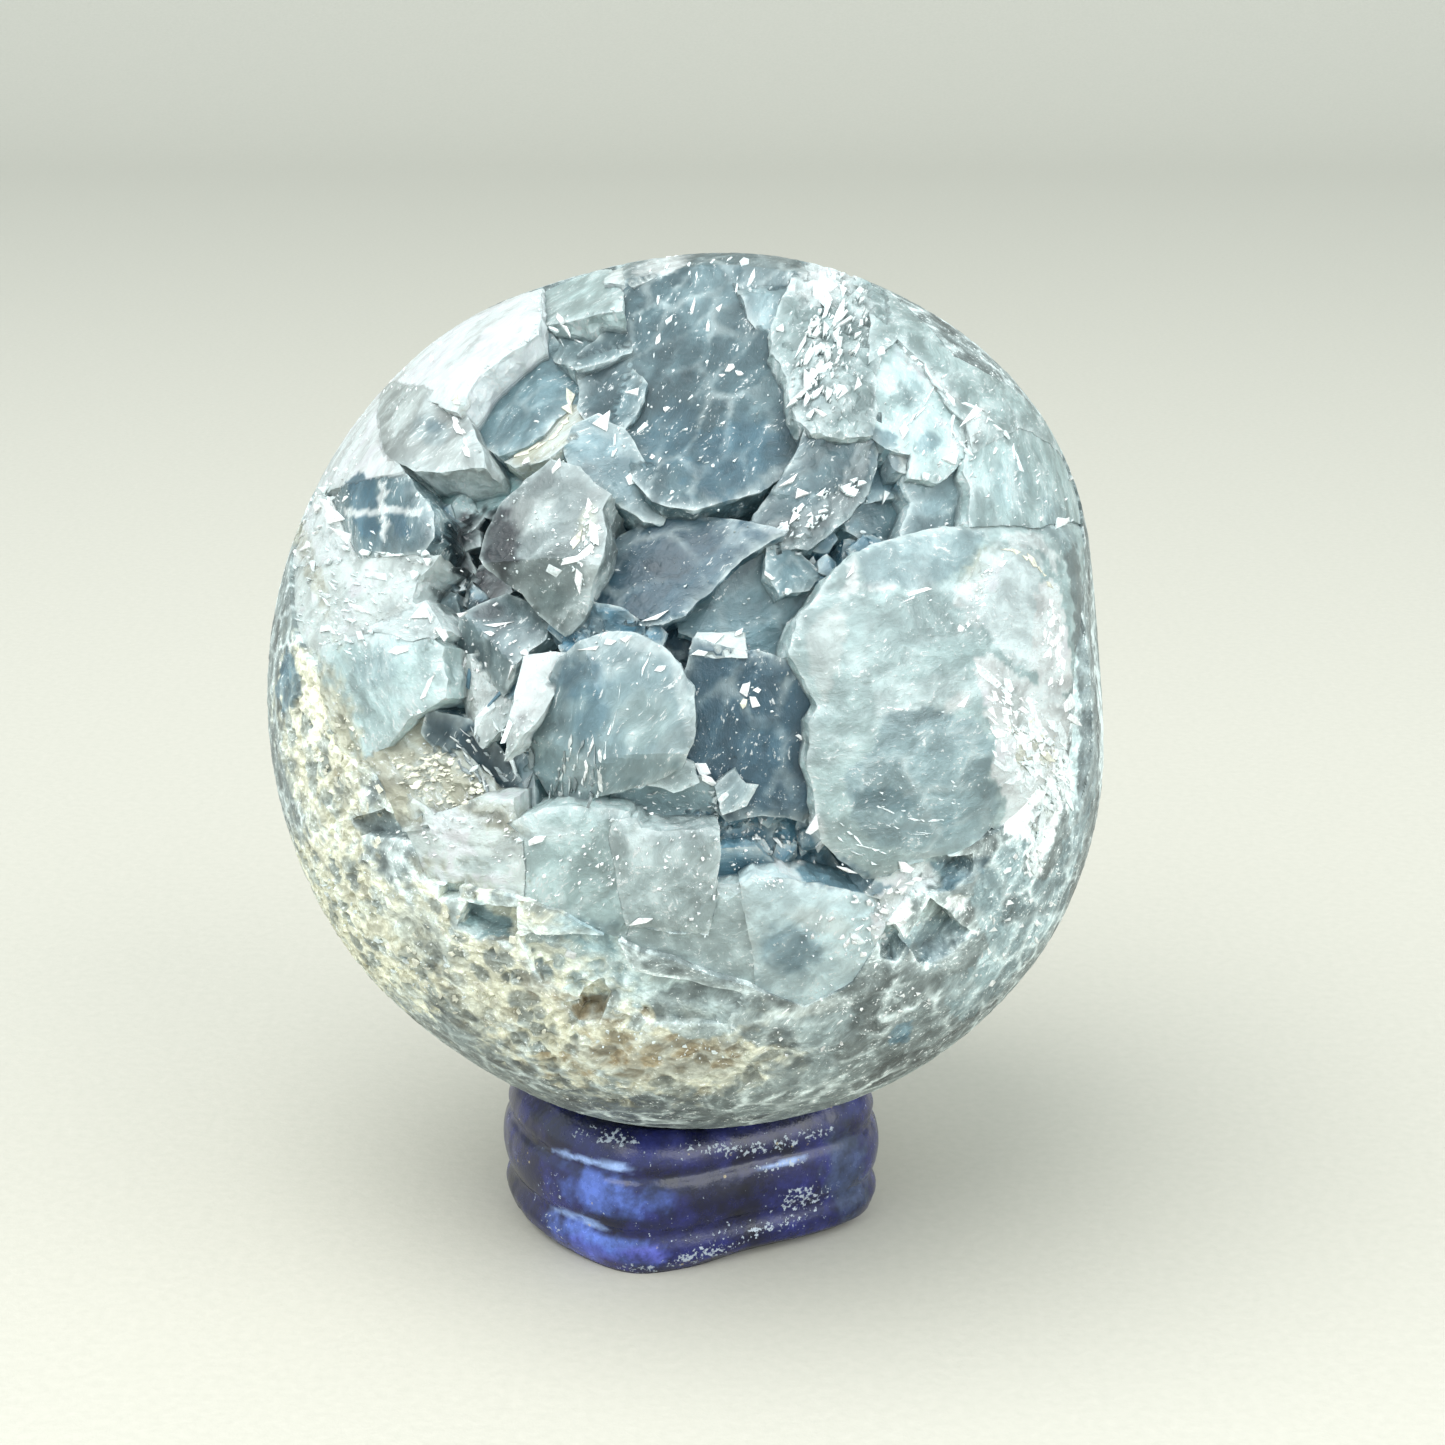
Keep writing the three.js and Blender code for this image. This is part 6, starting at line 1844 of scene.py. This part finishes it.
def chip_shapes(hollow, ground, crust, looks):
    """Points, faces and tints of the chips. Each lies on whatever crystal is under its middle."""
    draw = chance(CHIP_SEED)
    chips = [*single_chips(draw), *splinters(draw), *field_chips(draw), *rim_chips(crust, looks, draw)]
    in_hollow, owners, depth = chip_places(chips, hollow, ground)
    points, faces, tints = [], [], []
    for index, (colour, middle, outline) in enumerate(chips):
        ways = seen_way(np.array(middle) + np.array([(0, 0), *outline]), depth[index])
        count = len(outline)
        surface = (hollow if in_hollow[index] else ground).radius(owners[index], ways)
        lift = CHIP_HEIGHT * np.array([1.2] + [0.2 + 0.8 * draw() for _ in range(count)])
        top = np.minimum(surface - SKIN + lift, ground_radius(ways) - SKIN)
        faces += chip_faces_from(len(points), count)
        points += [tuple(p) for p in (ways * top[:, None]).tolist()]
        points += [tuple(p) for p in (ways[1:] * (surface[1:] - CHIP_DEPTH)[:, None]).tolist()]
        tone = 0.66 + 0.24 * draw()
        tints += [[c * tone for c in PALETTE[colour]]] * (2 * count + 1)
    return to_world(np.array(points)), faces, {"tint": np.clip(tints, 0, 1)}


def chip_material():
    """Broken, frosted crystal."""
    shader = Shader("celestite_chips")
    broken = shader.noise(shader.place(), 1400, 4, 0.7)
    shade = shader.ramp(broken, 0.3, 0.6, 0.62, 1.0)
    colour = shader.mix(shader.attribute("tint", "Color"), shade, 1.0, "MULTIPLY")
    inputs = {
        "Base Color": colour,
        "Roughness": 0.45,
        "Normal": shader.bump(broken, 0.15, 0.8),
        "IOR": CELESTITE_IOR,
        "Specular IOR Level": CHIP_SHINE,
    }
    shader.fill(shader.surface, inputs)
    return shader.material


# How the top of the ring is hollowed to take the ball, and the rest of it worn by use
SEAT_ROUNDS = 8
SEAT_GAIN = 1.1
WORN_FROM = 0.4 # height, in millimetres, below which its foot stays as it is


def ring_points():
    """The ring's points and faces, with its top hollowed to take the ball and its surface a little worn."""
    lines = ring_shape()
    around, count = lines.shape[:2]
    points = lines.reshape(-1, 3) + np.array([BALL_CENTRE[0], 0, 0])
    for _ in range(SEAT_ROUNDS):
        local = to_ball(points)
        away = np.linalg.norm(local, axis=1)
        short = ground_radius(local / away[:, None]) + CONTACT_GAP - away
        points[:, 2] -= SEAT_GAIN * np.clip(short, 0, None)
    worn = 0.10 * ramp(fractal(points, 7, 5.5, 5), 0.05, 0.8)
    worn += 0.08 * ramp(fractal(points, 1.6, 9.1, 3), 0.15, 0.8)
    inward = -points * np.array([1, 1, 0])
    raised = (points[:, 2] > WORN_FROM)[:, None]
    points += raised * inward * (worn / np.maximum(np.hypot(points[:, 0], points[:, 1]), 1))[:, None]
    faces = []
    for i in range(around):
        for j in range(count):
            k, m = (i + 1) % around, (j + 1) % count
            faces.append([i * count + j, k * count + j, k * count + m, i * count + m])
    return points, faces


# Patches on the ring: colour, place as the camera sees it, half length and half width, turn and strength.
# Chalk is white specks, and light is a painted highlight along the ridges of its bands.
RING_MARKS = [
    ("chalk", -7.6, -42.9, 4, 0.9, -10, 0.8),
    ("chalk", 3.4, -43.9, 5, 0.9, 0, 0.8),
    ("chalk", 11, -42.6, 3.6, 0.9, 14, 0.7),
    ("chalk", 8, -45.6, 4, 0.6, 12, 0.7),
    ("chalk", 10.6, -48.8, 3.4, 1.6, 18, 0.75),
    ("chalk", 4.6, -51.6, 5, 0.8, 12, 0.55),
    ("chalk", 0.6, -54, 4.6, 0.8, 16, 0.8),
    ("chalk", 9.4, -51, 4, 0.7, 18, 0.6),
    ("chalk", -5.6, -55.4, 2.6, 0.6, 0, 0.6),
    ("chalk", -13, -51.4, 2, 1, -40, 0.5),
    # painted highlights along the ridges of the bands
    ("light", -9.3, -45.2, 4, 0.35, -16, 0.9),
    ("light", -7, -45.6, 2, 0.25, -8, 0.8),
    ("light", 8.8, -45.2, 2.6, 0.25, 14, 0.8),
    ("light", -10.4, -50.7, 3.4, 0.4, -22, 0.8),
    ("azure", -8.4, -48.2, 5, 2, -18, 0.9),
    ("azure", -3.4, -48.6, 2.6, 1.6, 0, 0.6),
    ("azure", -10.6, -52.4, 4, 1.6, -26, 1),
    ("azure", -6, -53.6, 4, 1.4, -12, 1),
    ("ink", 2, -47.2, 6, 1.6, 4, 0.9),
    ("ink", -4, -51.2, 4, 0.5, -6, 0.7),
    ("violet", -9.4, -54, 4.4, 1, -28, 0.5),
    ("violet", -4.6, -54, 2.6, 1, -6, 0.6),
    ("slate", 14.6, -46, 2.4, 4.6, 0, 0.8),
    ("ink", -16, -46.6, 1.5, 4.6, 10, 0.7),
    # painted shadow along the top of the ring, where the ball sits on it
    ("ink", 0, -41.4, 16, 0.5, 0, 0.8),
]
RING_COLOURS = {
    # the colour of the painted highlights
    "light": (0.30, 0.42, 0.72),
    "azure": (0.075, 0.13, 0.42),
    "violet": (0.085, 0.075, 0.38),
    "slate": (0.04, 0.06, 0.12),
    "ink": (0.006, 0.008, 0.035),
    "blue": (0.009, 0.011, 0.07),
}
CHALK_COLOUR = (0.40, 0.45, 0.50, 1)
GOLD_COLOUR = (0.42, 0.34, 0.18, 1)
FLOOR_COLOURS = ((0.40, 0.385, 0.325, 1), (0.475, 0.45, 0.385, 1))


def ring_paint(points):
    """Painted colour of the ring at its points, and how thick its white specks lie."""
    place = seen(points)
    front = (points[:, 1] < 2) & (points[:, 2] > 0.05)
    fine, broad = fractal(points, 1.2, 3.3), fractal(points, 6, 8.8)
    tint = np.tile(RING_COLOURS["blue"], (len(points), 1)) * (1 + 0.9 * broad + 0.4 * fine)[:, None]
    chalk = 0.4 * ramp(broad + 0.5 * fine, 0.2, 0.9)
    for colour, right, up, length, width, angle, strength in RING_MARKS:
        x, y = turned(place[:, 0] - right, place[:, 1] - up, -angle)
        across = np.hypot(x / length, y / width)
        amount = strength * ramp(-(across + 0.45 * fine + 0.2 * broad), -1.15, -0.5) * front
        if colour == "chalk":
            chalk += amount
        else:
            tint += (np.array(RING_COLOURS[colour]) - tint) * amount[:, None]
    return {"tint": tint.clip(0, 1), "chalk": chalk.clip(0, 1)}


def lapis_material():
    """Polished deep blue stone with clouds, white veins and small gold specks."""
    shader = Shader("lapis")
    place = shader.place()
    cloud = shader.noise(place, 260, 5, 0.7)
    grit = shader.noise(place, 2300, 3, 0.65)
    shade = shader.ramp(cloud, 0.3, 0.72, 0.27, 1.45)
    colour = shader.mix(shader.attribute("tint", "Color"), shade, 1.0, "MULTIPLY")
    specks = shader.product_sum(shader.attribute("chalk"), 0.22, grit)
    specks = shader.product_sum(cloud, 0.12, specks)
    chalk = shader.ramp(specks, 0.755, 0.80, 0.0, 0.85)
    colour = shader.mix(colour, CHALK_COLOUR, chalk)
    gold = shader.ramp(shader.cells(place, 700)["Distance"], 0.13, 0.09, 0.0, 0.8)
    gold = shader.product(gold, shader.ramp(cloud, 0.52, 0.6))
    colour = shader.mix(colour, GOLD_COLOUR, gold)
    inputs = {
        "Base Color": colour,
        "Roughness": shader.ramp(cloud, 0.3, 0.8, 0.16, 0.34),
        "Normal": shader.bump(shader.product_sum(chalk, 0.5, grit), 0.05, 0.7),
        "IOR": LAPIS_IOR,
    }
    shader.fill(shader.surface, inputs)
    return shader.material


def floor_material():
    """Pale board with a fine grain."""
    shader = Shader("pale_floor")
    grain = shader.noise(shader.place(), 900, 5, 0.6)
    colour = shader.mix(*FLOOR_COLOURS, grain)
    relief = shader.bump(grain, 0.12, 0.5)
    shader.fill(shader.surface, {"Base Color": colour, "Roughness": 0.85, "Normal": relief})
    return shader.material


def make_floor():
    """A pale floor that curves up far behind."""
    size, back, bend, top = 3.0, 0.9, 0.4, 2.5
    profile = [(-size, 0.0), (back, 0.0)]
    turns = np.linspace(0, math.pi / 2, 16)[1:]
    profile += [(back + bend * math.sin(a), bend - bend * math.cos(a)) for a in turns]
    profile += [(back + bend, top)]
    vertices = [(side, y, z) for y, z in profile for side in (-size, size)]
    faces = [(2 * i, 2 * i + 1, 2 * i + 3, 2 * i + 2) for i in range(len(profile) - 1)]
    mesh = bpy.data.meshes.new("floor")
    mesh.from_pydata(vertices, [], faces)
    mesh.shade_smooth()
    floor = bpy.data.objects.new("floor", mesh)
    mesh.materials.append(floor_material())
    bpy.context.scene.collection.objects.link(floor)


def make_camera():
    data = bpy.data.cameras.new("camera")
    data.sensor_width = 36
    data.lens = data.sensor_width * FOCAL_PIXELS / IMAGE_SIZE
    camera = bpy.data.objects.new("camera", data)
    bpy.context.scene.collection.objects.link(camera)
    camera.location = CAMERA_PLACE * METRES
    camera.rotation_euler = (math.pi / 2 - CAMERA_PITCH, 0, 0)
    bpy.context.scene.camera = camera


def area_light(name, place, size, watts):
    """A round light, in metres, turned to the middle of the ball."""
    data = bpy.data.lights.new(name, "AREA")
    data.shape = "DISK"
    data.size = size
    data.energy = watts
    light = bpy.data.objects.new(name, data)
    light.location = place
    light.rotation_euler = (Vector(place) - Vector((0, 0, 0.05))).to_track_quat("Z", "Y").to_euler()
    bpy.context.scene.collection.objects.link(light)


def make_lights():
    area_light("window", (-0.3, -0.35, 0.8), size=1.0, watts=10.4)
    area_light("fill", (0.6, -0.6, 0.5), size=0.9, watts=6.0)
    world = bpy.data.worlds.new("room")
    world.use_nodes = True
    background = world.node_tree.nodes["Background"].inputs
    background["Color"].default_value = (0.78, 0.89, 0.96, 1)
    background["Strength"].default_value = 1.6
    bpy.context.scene.world = world
    bpy.context.scene.view_settings.view_transform = "Standard"


make_camera()
make_floor()
make_lights()

crust, body, hollow, ground = ball_reliefs()
crust_looks = [LOOKS.get(name, SMALL_LOOK) for name in hollow.names] + [FLOOR_LOOK]
body_looks = [PIT_LOOK] * len(PITS) + [GROUND_LOOK]
points, paint = stone_surface(crust, crust_looks, CRUST_SEED)
make_piece("crystals", points, crust.triangles, crystal_material(), ["crystal_crust"], paint)
points, paint = stone_surface(body, body_looks, BODY_SEED, GROUND_PATCHES, all_round=True)
make_piece("ball", points, body.triangles, ground_material(), ["celestite_ball"], paint)
points, faces, paint = chip_shapes(hollow, ground, crust, crust_looks)
make_piece("chips", points, faces, chip_material(), [], paint)
points, faces = ring_points()
paint = ring_paint(points)
make_piece("lapis_ring", points, faces, lapis_material(), ["ring_stand"], paint, smooth=True)
